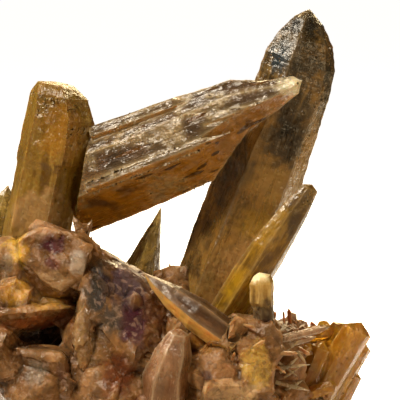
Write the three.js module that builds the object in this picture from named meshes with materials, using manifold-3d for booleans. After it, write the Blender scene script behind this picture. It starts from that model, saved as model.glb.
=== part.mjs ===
// A mimetite specimen: six-sided crystals on a lumpy matrix.
// Millimetres, +Z up, the front faces -Y. The origin ends at the middle of the underside.

import * as THREE from 'three';
import { ConvexGeometry } from 'three/addons/geometries/ConvexGeometry.js';
import { mergeVertices } from 'three/addons/utils/BufferGeometryUtils.js';
import Module from 'manifold-3d';

const wasm = await Module();
wasm.setup();

// Clearance between a crystal and the socket it stands in, or a neighbour it leans on.
const GAP = 0.3;
// A socket's sides and tip stand off a little more, because its faces are slanted.
const SIDE_MARGIN = 1.2;
const TIP_MARGIN = 2;
// How far the bodies that only cut away material reach.
const CUT_REACH = 12;
const GROUND_REACH = 80;
// Corners closer than this are one corner.
const WELD = 1e-4;
// Sides of a mimetite prism.
const SIDES = 6;

// Seeds of the random shapes, fixed so that every build is the same.
const LUMP_SEED = 7;
const SPRIG_SEED = 19;

// The tall smoky crystal: a barrel that tapers a little, then a blunt pyramid. Its left face
// narrows towards the foot, so each level has a turn of its own.
const SMOKY = {
  turn: 11,
  levels: [
    { at: [-0.1, 1.2, 10.8], radius: 4.9, turn: -3 },
    { at: [2.5, 0.9, 18.0], radius: 4.85, turn: 0 },
    { at: [6.9, 0.2, 31.4], radius: 4.4, turn: 7 },
    { at: [9.1, 0.0, 37.0], radius: 4.05 },
    { at: [9.95, 0.0, 39.9], radius: 3.85 },
    { at: [10.5, 0.0, 42.1], radius: 3.0 },
    { at: [10.8, 0.0, 43.9], radius: 1.75 },
  ],
  tip: [10.8, 0.0, 45.2],
};

// The honey prism, with a worn shoulder on its right and a growth notch halfway up.
const HONEY = {
  turn: -12,
  levels: [
    { at: [-17.6, -1.5, 16.6], radius: 3.5 },
    { at: [-16.2, -1.4, 23.4], radius: 3.6 },
    { at: [-14.9, -1.2, 29.4], radius: 3.6 },
    { at: [-14.6, -1.1, 30.1], radius: 3.9 },
    { at: [-14.3, -1.0, 31.4], radius: 3.95 },
    { at: [-13.8, -1.0, 34.4], radius: 3.6 },
    { at: [-13.85, -1.0, 36.6], radius: 3.05 },
    { at: [-14.15, -1.0, 37.8], radius: 2.0 },
  ],
};

// The leaning prism. Each level gives how high its long edges stand above or below the axis
// (upper edge, shoulder, ridge that faces the viewer, lower edge) and how deep it is.
const LEANING = {
  foot: [-13.6, 0.4, 27.3],
  head: [9.9, -6.8, 36.9],
  levels: [
    { along: 0.0, upper: 5.0, shoulder: 2.9, ridge: -1.2, lower: -5.3, depth: 3.7 },
    { along: 8.6, upper: 4.35, shoulder: 2.4, ridge: -0.9, lower: -4.95, depth: 3.6 },
    { along: 15.0, upper: 4.4, shoulder: 2.6, ridge: -0.2, lower: -4.6, depth: 3.1 },
    { along: 20.2, upper: 4.1, shoulder: 2.8, ridge: 1.0, lower: -1.3, depth: 2.1 },
    { along: 24.0, upper: 2.7, shoulder: 2.1, ridge: 1.1, lower: -0.3, depth: 1.3 },
    { along: 26.1, upper: 2.3, shoulder: 1.9, ridge: 1.3, lower: 0.4, depth: 0.7 },
  ],
  // How far the other edges stand out in front of the axis, or behind it, as shares of the depth.
  front: { shoulder: 0.75, lower: 0.2 },
  behind: { under: 0.8, over: 0.95 },
  // The face that meets the honey prism: a line in the view from the front, high end first.
  seam: [[-10.6, 35.2], [-12.9, 22.0]],
  tipAlong: 26.9,
  tipRise: 1.5,
};

// Ledges along the leaning prism: thinner growths that stand proud of its faces.
const LEANING_LEDGES = [
  { foot: [-10.6, -1.8, 32.7], tip: [-0.4, -4.6, 36.6], radius: 1.0, turn: 30 },
  { foot: [-11.0, -3.6, 27.6], tip: [3.0, -7.6, 33.6], radius: 0.75, turn: 25 },
  { foot: [-7.0, -4.2, 31.2], tip: [5.2, -7.3, 36.2], radius: 0.6, turn: 40 },
];

const SPIKE = {
  turn: 8,
  levels: [
    { at: [-6.7, 2.2, 15.2], radius: 2.25 },
    { at: [-5.85, 2.0, 18.6], radius: 1.95 },
  ],
  tip: [-3.9, 2.0, 25.15],
};

const BLADE = {
  turn: 24,
  flat: 0.62,
  levels: [
    { at: [1.6, -7.4, 14.2], radius: 2.2 },
    { at: [3.9, -7.6, 18.0], radius: 2.25 },
    { at: [6.6, -8.0, 22.4], radius: 2.1 },
    { at: [9.1, -8.0, 26.2], radius: 1.55 },
    { at: [10.5, -8.0, 28.3], radius: 0.95 },
  ],
  tip: [10.7, -8.0, 28.7],
};

const STUB = {
  turn: 15,
  levels: [
    { at: [6.2, -10.2, 13.8], radius: 1.15 },
    { at: [6.0, -10.4, 17.3], radius: 1.1 },
    { at: [5.85, -10.4, 17.8], radius: 1.28 },
    { at: [5.8, -10.4, 19.6], radius: 1.3 },
    { at: [5.8, -10.4, 20.3], radius: 0.95 },
  ],
  tip: [5.6, -10.4, 20.6],
};

const RIDGE = {
  turn: 18,
  levels: [
    { at: [3.5, -12.0, 13.9], radius: 1.35 },
    { at: [1.95, -11.3, 15.0], radius: 1.7 },
    { at: [-0.35, -10.5, 16.6], radius: 1.75 },
    { at: [-2.5, -9.8, 18.1], radius: 1.25 },
    { at: [-4.2, -9.3, 19.3], radius: 0.7 },
  ],
  tip: [-5.6, -9.0, 20.5],
};

const PYRAMID = {
  turn: 4,
  levels: [
    { at: [-3.6, -11.2, 6.6], radius: 2.9 },
    { at: [-3.2, -12.3, 10.9], radius: 2.35 },
    { at: [-2.5, -12.3, 13.4], radius: 1.8 },
    { at: [-1.95, -12.3, 15.2], radius: 1.0 },
  ],
  tip: [-1.75, -12.3, 15.6],
};

const SIDE = {
  turn: 20,
  levels: [
    { at: [-22.0, 3.4, 18.2], radius: 1.35 },
    { at: [-20.6, 3.4, 23.2], radius: 1.15 },
    { at: [-19.8, 3.4, 26.0], radius: 0.85 },
  ],
  tip: [-19.5, 3.4, 27.2],
};

// Amber blades: where each leaves the root, where it ends, its half width and how flat it is.
const AMBER_BLADES = [
  { foot: [10.9, -5.0, 5.9], tip: [15.9, -5.0, 14.7], radius: 2.0, flat: 0.5, turn: 20 },
  { foot: [10.6, -3.0, 9.2], tip: [14.4, -3.0, 14.1], radius: 1.2, flat: 0.7, turn: -20 },
  { foot: [7.6, -4.0, 12.8], tip: [13.3, -4.0, 13.5], radius: 0.95, flat: 0.9, turn: 0 },
  { foot: [12.3, -3.0, 5.8], tip: [16.3, -3.0, 12.5], radius: 1.8, flat: 0.5, turn: 25 },
  { foot: [12.4, -2.0, 3.6], tip: [15.4, -2.0, 9.4], radius: 1.5, flat: 0.7, turn: -15 },
  { foot: [9.6, -6.0, 6.6], tip: [12.1, -5.8, 12.9], radius: 1.35, flat: 0.8, turn: 10 },
  { foot: [8.2, -6.6, 9.6], tip: [10.8, -6.6, 12.9], radius: 0.8, flat: 0.7, turn: 40 },
  { foot: [9.2, -6.6, 7.4], tip: [13.4, -7.4, 9.0], radius: 0.9, flat: 0.8, turn: 15 },
  { foot: [10.2, -2.8, 9.0], tip: [13.0, 1.2, 13.4], radius: 1.2, flat: 0.7, turn: 60 },
];
const AMBER_ROOTS = [
  { at: [10.8, -4.0, 7.8], size: [2.6, 2.4, 3.6] },
  { at: [9.6, -3.6, 11.0], size: [1.9, 1.8, 2.4] },
];
// The share of a small crystal's length after which it narrows to its tip, and its width there.
const SPRIG_SHOULDER = 0.8;
const AMBER_SHOULDER = 0.9;
const SPRIG_TAPER = 0.88;

// The body of the matrix: oval levels from the flat underside to the top.
const MASS = [
  { at: [-3.5, 0.0, 0.0], half: [12.5, 9.5] },
  { at: [-3.4, 0.0, 3.6], half: [16.8, 12.4] },
  { at: [-3.4, -0.2, 8.6], half: [17.6, 12.6] },
  { at: [-4.9, 0.0, 12.6], half: [14.6, 10.0] },
  { at: [-6.0, -0.6, 15.6], half: [10.0, 4.8] },
];
const MASS_CORNERS = 11;
const MASS_ROUGHNESS = 0.07;

// Lumps of the crust at the front and on top, as they stand in the view from the front.
const FRONT_LUMPS = [
  { at: [-13.9, -7.6, 21.5], size: [4.4, 3.4, 4.0] },
  { at: [-18.8, -6.4, 20.6], size: [2.8, 3.2, 3.4] },
  { at: [-21.4, -4.4, 15.6], size: [3.0, 4.0, 4.4] },
  { at: [-16.4, -5.6, 17.0], size: [5.0, 3.6, 4.0] },
  { at: [-18.2, -9.4, 17.4], size: [3.4, 2.8, 2.4] },
  { at: [-18.8, -11.0, 12.8], size: [2.8, 3.0, 3.6] },
  { at: [-15.2, -11.6, 9.9], size: [4.2, 3.0, 2.9] },
  { at: [-10.4, -8.0, 18.9], size: [2.4, 2.4, 2.5] },
  { at: [-9.9, -5.0, 20.2], size: [1.4, 1.5, 1.9] },
  { at: [-7.8, -5.6, 16.6], size: [4.4, 4.0, 3.1] },
  { at: [-10.6, -9.8, 13.6], size: [2.8, 3.0, 4.4] },
  { at: [-6.4, -10.2, 13.4], size: [3.2, 2.8, 3.6] },
  { at: [-9.0, -12.2, 9.2], size: [3.6, 2.6, 3.4] },
  { at: [-4.2, -12.4, 7.8], size: [3.4, 2.6, 2.6] },
  { at: [-1.0, -8.6, 14.6], size: [3.6, 3.2, 2.8] },
  { at: [3.2, -8.2, 13.8], size: [3.0, 3.0, 2.7] },
  { at: [0.5, -11.6, 11.6], size: [2.4, 2.2, 2.6] },
  { at: [5.3, -10.6, 13.3], size: [1.8, 1.9, 2.3] },
  { at: [5.3, -11.6, 10.8], size: [2.0, 2.1, 2.8] },
  { at: [8.2, -7.0, 11.6], size: [2.4, 2.8, 2.6] },
  { at: [2.8, -12.2, 8.8], size: [3.4, 2.2, 2.2] },
  { at: [7.2, -4.6, 12.2], size: [2.6, 2.8, 2.4] },
  { at: [9.3, -1.0, 12.6], size: [2.0, 2.2, 1.9] },
  { at: [10.8, -1.6, 6.0], size: [3.0, 4.4, 3.4] },
  { at: [2.6, 5.8, 11.4], size: [3.4, 3.2, 2.6] },
  { at: [-4.6, 5.0, 14.6], size: [3.6, 3.0, 2.4] },
  { at: [-10.8, 3.8, 15.0], size: [3.2, 3.2, 2.6] },
  { at: [-16.4, 4.4, 14.6], size: [3.4, 3.2, 3.0] },
  { at: [-20.0, 2.2, 15.6], size: [3.2, 3.8, 4.4] },
  { at: [12.6, 3.6, 8.8], size: [2.6, 3.2, 2.5] },
  { at: [9.4, 7.2, 9.0], size: [3.2, 3.0, 2.4] },
  { at: [-3.4, -1.0, 16.0], size: [3.4, 3.2, 2.6] },
];

// Lumps of the rest of the crust, scattered around the mass in bands.
const CRUST_BANDS = [
  { height: 3.4, reach: [16.0, 11.6], size: 3.0, count: 15, from: 0, to: 360 },
  { height: 7.6, reach: [16.2, 11.6], size: 3.0, count: 12, from: -15, to: 215 },
  { height: 11.8, reach: [14.2, 9.4], size: 2.8, count: 6, from: 72, to: 200 },
];
const CRUST_CENTRE = [-3.5, 0.0];
const LUMP_CORNERS = 12;
const LUMP_ROUGHNESS = 0.2;

// Hollows in the crust: the dark cavity at the left, and smaller pits and pockets.
const PITS = [
  { at: [-15.2, -13.2, 14.3], size: [3.4, 3.6, 1.75] },
  { at: [-12.7, -13.4, 12.6], size: [0.9, 2.2, 2.3] },
  { at: [-14.8, -10.8, 18.1], size: [2.4, 1.8, 1.0] },
  { at: [-3.4, -10.6, 15.8], size: [0.9, 1.6, 1.0] },
  { at: [-0.2, -13.6, 12.4], size: [0.8, 1.6, 1.4] },
  { at: [7.6, -9.6, 10.4], size: [0.9, 1.8, 1.4] },
  { at: [-7.2, -13.4, 11.9], size: [0.9, 1.6, 1.1] },
  { at: [-13.6, 11.8, 8.6], size: [2.2, 2.4, 1.8] },
  { at: [3.4, 12.6, 6.6], size: [2.6, 2.2, 1.5] },
  { at: [-20.6, 2.2, 7.2], size: [2.2, 2.0, 1.7] },
];

// Small crystals that stand in the view from the front, fused to the crust.
const FRONT_SPRIGS = [
  { foot: [-11.1, -5.6, 20.4], tip: [-11.3, -5.2, 24.3], radius: 0.6 },
  { foot: [-11.3, -5.2, 23.2], tip: [-12.4, -5.2, 25.2], radius: 0.45 },
  { foot: [-11.3, -5.2, 22.9], tip: [-10.4, -5.2, 24.9], radius: 0.42 },
  { foot: [-11.1, -12.4, 12.0], tip: [-11.0, -12.4, 17.9], radius: 0.85 },
  { foot: [-3.4, 0.2, 15.4], tip: [-1.4, -1.0, 19.6], radius: 1.5 },
  { foot: [-4.4, 0.4, 14.8], tip: [-3.4, 0.0, 19.2], radius: 1.1 },
  { foot: [-3.3, -0.4, 17.0], tip: [-3.0, -0.6, 19.9], radius: 0.3 },
  { foot: [-5.2, -12.0, 11.2], tip: [-8.4, -12.6, 14.2], radius: 0.8 },
  { foot: [2.4, -11.4, 9.6], tip: [1.2, -12.8, 13.6], radius: 0.9 },
  { foot: [6.0, -11.4, 8.6], tip: [6.4, -12.2, 13.2], radius: 1.0 },
  { foot: [3.6, -9.4, 12.0], tip: [3.4, -11.6, 15.0], radius: 1.0 },
  { foot: [8.4, -6.4, 10.8], tip: [9.0, -8.0, 14.4], radius: 0.8 },
  { foot: [8.4, -2.4, 12.0], tip: [9.3, -2.2, 15.1], radius: 0.9 },
  { foot: [-17.6, -10.6, 13.6], tip: [-20.2, -11.6, 17.6], radius: 1.0 },
  { foot: [-13.4, -11.2, 8.8], tip: [-12.4, -13.2, 12.9], radius: 0.9 },
  { foot: [-9.4, -7.6, 17.2], tip: [-11.6, -10.6, 19.6], radius: 1.1 },
  { foot: [-6.8, -8.4, 15.2], tip: [-6.2, -10.4, 18.8], radius: 1.0 },
];

// Small crystals scattered over the rest of the crust.
const SPRIG_COUNT = 50;
const SPRIG_LENGTH = [2.2, 4.2];
const SPRIG_SLIMNESS = [0.2, 0.34];
const SPRIG_TURN = [10, 200];
const SPRIG_RISE = [-10, 62];
const SPRIG_SPREAD = 0.75;
const SPRIG_ROOT = 0.55;
const SPRIG_CENTRE = [-3.5, 0.0, 7.0];

const COLOURS = {
  matrix: 0x8a6848,
  smoky: 0x5e4a2b,
  honey: 0xa07a3c,
  spike: 0xa8935c,
  blade: 0x7d6536,
  cream: 0xcdb585,
  pale: 0xa98763,
  amber: 0xa9741e,
};

// Returns a function that gives the same run of numbers from 0 to 1 for the same seed.
function randomFrom(seed) {
  let state = seed;
  return () => {
    state = (state + 0x6d2b79f5) | 0;
    let mixed = Math.imul(state ^ (state >>> 15), 1 | state);
    mixed = (mixed + Math.imul(mixed ^ (mixed >>> 7), 61 | mixed)) ^ mixed;
    return ((mixed ^ (mixed >>> 14)) >>> 0) / 4294967296;
  };
}

const within = ([low, high], share) => low + (high - low) * share;

// Turns a closed geometry into a solid that can be joined and cut.
function solidOf(geometry) {
  const bare = geometry.clone();
  bare.deleteAttribute('normal');
  bare.deleteAttribute('uv');
  const merged = mergeVertices(bare, WELD);
  return new wasm.Manifold(new wasm.Mesh({
    numProp: 3,
    vertProperties: new Float32Array(merged.attributes.position.array),
    triVerts: new Uint32Array(merged.index.array),
  }));
}

function geometryOf(solid) {
  const mesh = solid.getMesh();
  const geometry = new THREE.BufferGeometry();
  geometry.setAttribute('position', new THREE.BufferAttribute(mesh.vertProperties, 3));
  geometry.setIndex(new THREE.BufferAttribute(mesh.triVerts, 1));
  geometry.computeVertexNormals();
  return geometry;
}

const joined = (solids) => solids.reduce((sum, solid) => sum.add(solid));

// The part of a solid that holds together: crumbs that a cut leaves loose are dropped.
function largestOf(solid) {
  const parts = solid.decompose();
  return parts.reduce((best, part) => (part.volume() > best.volume() ? part : best));
}

// A closed skin over rings of points, from the first ring to the last, or to a tip.
function loft(rings, tip) {
  const sides = rings[0].length;
  const points = rings.flat();
  const index = [];
  for (let level = 0; level + 1 < rings.length; level += 1) {
    for (let side = 0; side < sides; side += 1) {
      const next = (side + 1) % sides;
      const low = level * sides;
      const high = low + sides;
      index.push(low + side, low + next, high + next);
      index.push(low + side, high + next, high + side);
    }
  }
  const last = (rings.length - 1) * sides;
  for (let side = 1; side + 1 < sides; side += 1) {
    index.push(0, side + 1, side);
  }
  if (tip) {
    points.push(tip);
    for (let side = 0; side < sides; side += 1) {
      index.push(last + side, last + (side + 1) % sides, points.length - 1);
    }
  } else {
    for (let side = 1; side + 1 < sides; side += 1) {
      index.push(last, last + side, last + side + 1);
    }
  }
  const geometry = new THREE.BufferGeometry().setFromPoints(points);
  geometry.setIndex(index);
  return geometry;
}

// Directions square to an axis: one to the side in the view from the front, one away from it.
function squareTo(axis) {
  const side = new THREE.Vector3(0, 1, 0).cross(axis).normalize();
  const back = axis.clone().cross(side).normalize();
  return { side, back };
}

function sixCorners(centre, axis, radius, flat, turn) {
  const { side, back } = squareTo(axis);
  const roll = THREE.MathUtils.degToRad(turn);
  const corners = [];
  for (let corner = 0; corner < SIDES; corner += 1) {
    const angle = (corner * 2 * Math.PI) / SIDES;
    const wide = Math.cos(angle) * radius;
    const deep = Math.sin(angle) * radius * flat;
    corners.push(centre.clone()
      .addScaledVector(side, wide * Math.cos(roll) - deep * Math.sin(roll))
      .addScaledVector(back, wide * Math.sin(roll) + deep * Math.cos(roll)));
  }
  return corners;
}

// A crystal from its levels and tip. With a margin it is the socket that clears the crystal.
function crystal({ levels, tip, turn = 0, flat = 1 }, margin = 0) {
  const centres = levels.map((level) => new THREE.Vector3(...level.at));
  const end = tip ? new THREE.Vector3(...tip) : centres[centres.length - 1];
  const axis = end.clone().sub(centres[0]).normalize();
  centres[0].addScaledVector(axis, -margin);
  if (!tip) {
    centres[centres.length - 1].addScaledVector(axis, margin);
  }
  const rings = centres.map((centre, place) => {
    const level = { turn, ...levels[place] };
    return sixCorners(centre, axis, level.radius + margin * SIDE_MARGIN, flat, level.turn);
  });
  const apex = tip && end.clone().addScaledVector(axis, margin * TIP_MARGIN);
  return solidOf(loft(rings, apex));
}

// A straight small crystal with a blunt pyramid at its end.
function sprig({ foot, tip, radius, flat = 1, turn = 0, end = SPRIG_SHOULDER }, margin = 0) {
  const start = new THREE.Vector3(...foot);
  const shoulder = start.clone().lerp(new THREE.Vector3(...tip), end);
  return crystal({
    levels: [
      { at: start.toArray(), radius },
      { at: shoulder.toArray(), radius: radius * SPRIG_TAPER },
    ],
    tip,
    flat,
    turn,
  }, margin);
}

// The leaning prism: its section changes from level to level, and its end is cut off obliquely.
function leaningPrism(margin = 0) {
  const foot = new THREE.Vector3(...LEANING.foot);
  const axis = new THREE.Vector3(...LEANING.head).sub(foot).normalize();
  const { side, back } = squareTo(axis);
  const rise = side.clone().negate();
  const place = (along, up, deep) => foot.clone()
    .addScaledVector(axis, along)
    .addScaledVector(rise, up)
    .addScaledVector(back, deep);
  const { front, behind } = LEANING;
  const rings = LEANING.levels.map(({ along, upper, shoulder, ridge, lower, depth }) => [
    place(along, upper + margin, 0),
    place(along, shoulder + margin, -depth * front.shoulder - margin),
    place(along, ridge, -depth - margin),
    place(along, lower - margin, -depth * front.lower),
    place(along, (lower + ridge) / 2 - margin, depth * behind.under + margin),
    place(along, (upper + ridge) / 2 + margin, depth * behind.over + margin),
  ]);
  return solidOf(loft(rings, place(LEANING.tipAlong + margin, LEANING.tipRise, 0)));
}

// What lies left of the seam in the view from the front, to be cut from the leaning prism's foot.
function beyondSeam() {
  const [high, low] = LEANING.seam;
  const corners = [high, low, [low[0] - CUT_REACH, low[1]], [high[0] - CUT_REACH, high[1]]];
  const points = corners.flatMap(([x, z]) => [
    new THREE.Vector3(x, -CUT_REACH, z),
    new THREE.Vector3(x, CUT_REACH, z),
  ]);
  return solidOf(new ConvexGeometry(points));
}

// An angular lump: the hull of points spread evenly over an ellipsoid and moved at random.
function lump({ at, size }, random, roughness = LUMP_ROUGHNESS) {
  const golden = Math.PI * (3 - Math.sqrt(5));
  const points = [];
  const spin = random() * Math.PI * 2;
  for (let corner = 0; corner < LUMP_CORNERS; corner += 1) {
    const height = 1 - (2 * (corner + 0.5)) / LUMP_CORNERS;
    const circle = Math.sqrt(1 - height * height);
    const angle = spin + golden * corner;
    const swell = 1 + roughness * (random() * 2 - 1);
    points.push(new THREE.Vector3(
      at[0] + size[0] * swell * circle * Math.cos(angle),
      at[1] + size[1] * swell * circle * Math.sin(angle),
      at[2] + size[2] * swell * height,
    ));
  }
  return solidOf(new ConvexGeometry(points));
}

function massBody(random) {
  const points = MASS.flatMap(({ at, half }) => (
    Array.from({ length: MASS_CORNERS }, (_, corner) => {
      const angle = ((corner + random() * 0.5) * 2 * Math.PI) / MASS_CORNERS;
      const swell = 1 + MASS_ROUGHNESS * (random() * 2 - 1);
      return new THREE.Vector3(
        at[0] + half[0] * swell * Math.cos(angle),
        at[1] + half[1] * swell * Math.sin(angle),
        at[2],
      );
    })));
  return solidOf(new ConvexGeometry(points));
}

function crustBand({ height, reach, size, count, from, to }, random) {
  return Array.from({ length: count }, (_, place) => {
    const share = (place + 0.5 * random()) / count;
    const angle = THREE.MathUtils.degToRad(within([from, to], share));
    const stretch = 0.75 + 0.5 * random();
    return lump({
      at: [
        CRUST_CENTRE[0] + reach[0] * Math.cos(angle),
        CRUST_CENTRE[1] + reach[1] * Math.sin(angle),
        height + (random() - 0.5) * size,
      ],
      size: [size * stretch, size * (1.6 - stretch * 0.6), size * (0.7 + 0.4 * random())],
    }, random);
  });
}

// Small crystals that grow out of the crust where a ray from its middle leaves it.
function scatteredSprigs(crust, random) {
  const surface = new THREE.Mesh(geometryOf(crust), new THREE.MeshBasicMaterial());
  surface.material.side = THREE.DoubleSide;
  const centre = new THREE.Vector3(...SPRIG_CENTRE);
  const sprigs = [];
  for (let count = 0; count < SPRIG_COUNT; count += 1) {
    const turn = THREE.MathUtils.degToRad(within(SPRIG_TURN, random()));
    const rise = THREE.MathUtils.degToRad(within(SPRIG_RISE, random()));
    const out = new THREE.Vector3(
      Math.cos(turn) * Math.cos(rise),
      Math.sin(turn) * Math.cos(rise),
      Math.sin(rise),
    );
    const hits = new THREE.Raycaster(centre, out).intersectObject(surface);
    const length = within(SPRIG_LENGTH, random());
    const lean = new THREE.Vector3(random() - 0.5, random() - 0.5, random() * 0.8);
    const direction = out.clone().addScaledVector(lean, 2 * SPRIG_SPREAD).normalize();
    const start = hits[hits.length - 1].point.clone()
      .addScaledVector(direction, -length * SPRIG_ROOT);
    sprigs.push(sprig({
      foot: start.toArray(),
      tip: start.clone().addScaledVector(direction, length).toArray(),
      radius: length * within(SPRIG_SLIMNESS, random()),
      turn: 60 * random(),
    }));
  }
  return sprigs;
}

const smoky = crystal(SMOKY);
const smokyRoom = crystal(SMOKY, GAP);

const striated = joined([
  leaningPrism(),
  ...LEANING_LEDGES.map((ledge) => sprig(ledge)),
]).subtract(beyondSeam());
const crossed = largestOf(crystal(HONEY).add(striated).subtract(smokyRoom));
const crossedRoom = joined([crystal(HONEY, GAP), leaningPrism(GAP)]);

// The amber cluster, or with a margin the room that it takes up in the matrix.
function amberCluster(margin = 0) {
  const roots = AMBER_ROOTS.map(({ at, size }) => (
    lump({ at, size: size.map((half) => half + margin) }, randomFrom(LUMP_SEED), 0)));
  const blades = AMBER_BLADES.map((blade) => sprig({ end: AMBER_SHOULDER, ...blade }, margin));
  return joined([...roots, ...blades]);
}

function matrixSolid() {
  const random = randomFrom(LUMP_SEED);
  const crust = joined([
    massBody(random),
    ...FRONT_LUMPS.map((spec) => lump(spec, random)),
    ...CRUST_BANDS.flatMap((band) => crustBand(band, random)),
  ]);
  const sprigs = [
    ...FRONT_SPRIGS.map((spec, place) => sprig({ turn: 17 * place, ...spec })),
    ...scatteredSprigs(crust, randomFrom(SPRIG_SEED)),
  ];
  const pits = joined(PITS.map((spec) => lump(spec, random)));
  const ground = new THREE.BoxGeometry(GROUND_REACH, GROUND_REACH, GROUND_REACH)
    .translate(0, 0, -GROUND_REACH / 2);
  const rooms = [SPIKE, BLADE, STUB, RIDGE, PYRAMID, SIDE].map((spec) => crystal(spec, GAP));
  return largestOf(joined([crust.subtract(pits), ...sprigs])
    .subtract(joined([solidOf(ground), smokyRoom, crossedRoom, amberCluster(GAP), ...rooms])));
}

function stoneMaterial(color, roughness) {
  return new THREE.MeshStandardMaterial({ color, roughness, metalness: 0, flatShading: true });
}

function namedMesh(name, solid, color, roughness) {
  const mesh = new THREE.Mesh(geometryOf(solid), stoneMaterial(color, roughness));
  mesh.name = name;
  return mesh;
}

const specimen = new THREE.Group();
specimen.add(
  namedMesh('matrix', matrixSolid(), COLOURS.matrix, 0.6),
  namedMesh('smoky_crystal', smoky, COLOURS.smoky, 0.35),
  namedMesh('crossed_prisms', crossed, COLOURS.honey, 0.4),
  namedMesh('spike_crystal', crystal(SPIKE), COLOURS.spike, 0.3),
  namedMesh('blade_crystal', crystal(BLADE), COLOURS.blade, 0.35),
  namedMesh('stub_crystal', crystal(STUB), COLOURS.cream, 0.45),
  namedMesh('ridge_crystal', crystal(RIDGE), COLOURS.pale, 0.35),
  namedMesh('pale_pyramid', crystal(PYRAMID), COLOURS.pale, 0.45),
  namedMesh('amber_cluster', amberCluster(), COLOURS.amber, 0.3),
  namedMesh('side_crystal', crystal(SIDE), COLOURS.honey, 0.35),
);

// The specimen rests on z = 0 with the middle of its outline over the origin.
const outline = new THREE.Box3().setFromObject(specimen);
const middle = outline.getCenter(new THREE.Vector3());
specimen.position.set(-middle.x, -middle.y, -outline.min.z);

export default specimen;
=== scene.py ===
"""The finished look of a mimetite specimen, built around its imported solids.

Crystals are fine copies of their solids with growth lines, worn edges and glassy, clouded
finishes. The crust is a broken, crystalline skin with small crystals grown all over it.
"""
import logging
import math
from dataclasses import dataclass, field
from enum import Enum

import bmesh
import bpy
import numpy as np
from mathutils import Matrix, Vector
from mathutils.bvhtree import BVHTree
from mathutils.kdtree import KDTree


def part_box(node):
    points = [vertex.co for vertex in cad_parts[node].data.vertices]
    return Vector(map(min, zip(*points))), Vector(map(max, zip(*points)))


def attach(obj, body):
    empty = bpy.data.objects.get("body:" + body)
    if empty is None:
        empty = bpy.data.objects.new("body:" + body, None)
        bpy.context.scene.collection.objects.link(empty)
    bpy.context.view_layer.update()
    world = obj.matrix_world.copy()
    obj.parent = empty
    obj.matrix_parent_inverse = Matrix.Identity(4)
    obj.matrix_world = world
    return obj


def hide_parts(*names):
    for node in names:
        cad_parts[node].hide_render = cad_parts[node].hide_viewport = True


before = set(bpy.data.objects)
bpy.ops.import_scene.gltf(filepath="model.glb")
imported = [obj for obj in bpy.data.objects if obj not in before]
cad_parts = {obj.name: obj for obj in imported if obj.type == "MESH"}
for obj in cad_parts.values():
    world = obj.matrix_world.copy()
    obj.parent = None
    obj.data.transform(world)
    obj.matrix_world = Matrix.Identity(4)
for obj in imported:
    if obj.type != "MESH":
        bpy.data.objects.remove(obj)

LOG = logging.getLogger("mimetite")
MM = 0.001
BODY = "root"
MOST_SPLITS = 9
NO_RIM = 99.0
SIDES = 6
Triple = tuple[float, float, float]


def tint(code: str) -> tuple[float, float, float, float]:
    """The linear colour of a hex code such as "8a6848".

    Args:
        code: six hexadecimal digits, red first.

    Returns:
        Red, green, blue and alpha from 0 to 1, as shaders take them.
    """
    shares = [int(code[place:place + 2], 16) / 255 for place in (0, 2, 4)]
    linear = [s / 12.92 if s <= 0.04045 else ((s + 0.055) / 1.055) ** 2.4 for s in shares]
    return (linear[0], linear[1], linear[2], 1.0)


class Specimen:
    """The specimen's own millimetres: the solids are drawn in them, then moved as one."""

    TALL_NODE = "smoky_crystal"
    TALL_TIP: Triple = (10.8, 0.0, 45.2)

    def __init__(self) -> None:
        """Finds the move from the tip of the tall crystal, the highest point of all."""
        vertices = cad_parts[self.TALL_NODE].data.vertices
        tip = max((vertex.co for vertex in vertices), key=lambda co: co.z)
        self.shift = Vector(tip) - Vector(self.TALL_TIP) * MM

    def place(self, point: Triple) -> Vector:
        """The place in metres of a point in the specimen's millimetres."""
        return Vector(point) * MM + self.shift

    def millimetres(self, points: np.ndarray) -> np.ndarray:
        """Points in metres, as rows, in the specimen's millimetres."""
        return (points - np.array(self.shift)) / MM


SPECIMEN = Specimen()


class Value:
    """A socket of a shader graph. Arithmetic on it adds Math nodes."""

    def __init__(self, graph: "Graph", socket: bpy.types.NodeSocket) -> None:
        """Wraps one output socket of a graph."""
        self.graph = graph
        self.socket = socket

    def _maths(self, operation: str, *terms: object) -> "Value":
        """The result of a Math node on these terms."""
        return self.graph.node("ShaderNodeMath", {"operation": operation}, dict(enumerate(terms)))

    def __add__(self, other: object) -> "Value":
        """Sum."""
        return self._maths("ADD", self, other)

    __radd__ = __add__

    def __sub__(self, other: object) -> "Value":
        """Difference."""
        return self._maths("SUBTRACT", self, other)

    def __rsub__(self, other: object) -> "Value":
        """Difference, with the number first."""
        return self._maths("SUBTRACT", other, self)

    def __mul__(self, other: object) -> "Value":
        """Product."""
        return self._maths("MULTIPLY", self, other)

    __rmul__ = __mul__

    def larger(self, other: object) -> "Value":
        """The larger of the two."""
        return self._maths("MAXIMUM", self, other)

    def clamped(self) -> "Value":
        """This value kept from 0 to 1."""
        return self._maths("MINIMUM", self._maths("MAXIMUM", self, 0.0), 1.0)

    def step(self, low: float, high: float) -> "Value":
        """A smooth rise, or a fall where low is the larger of the two.

        Args:
            low: where the result starts, at 0.
            high: where the result ends, at 1.

        Returns:
            The step, which stays at 0 and 1 beyond its ends.
        """
        sockets = {"Value": self, "From Min": min(low, high), "From Max": max(low, high)}
        if low > high:
            sockets.update({"To Min": 1.0, "To Max": 0.0})
        return self.graph.node("ShaderNodeMapRange", {"interpolation_type": "SMOOTHSTEP"}, sockets)


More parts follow.
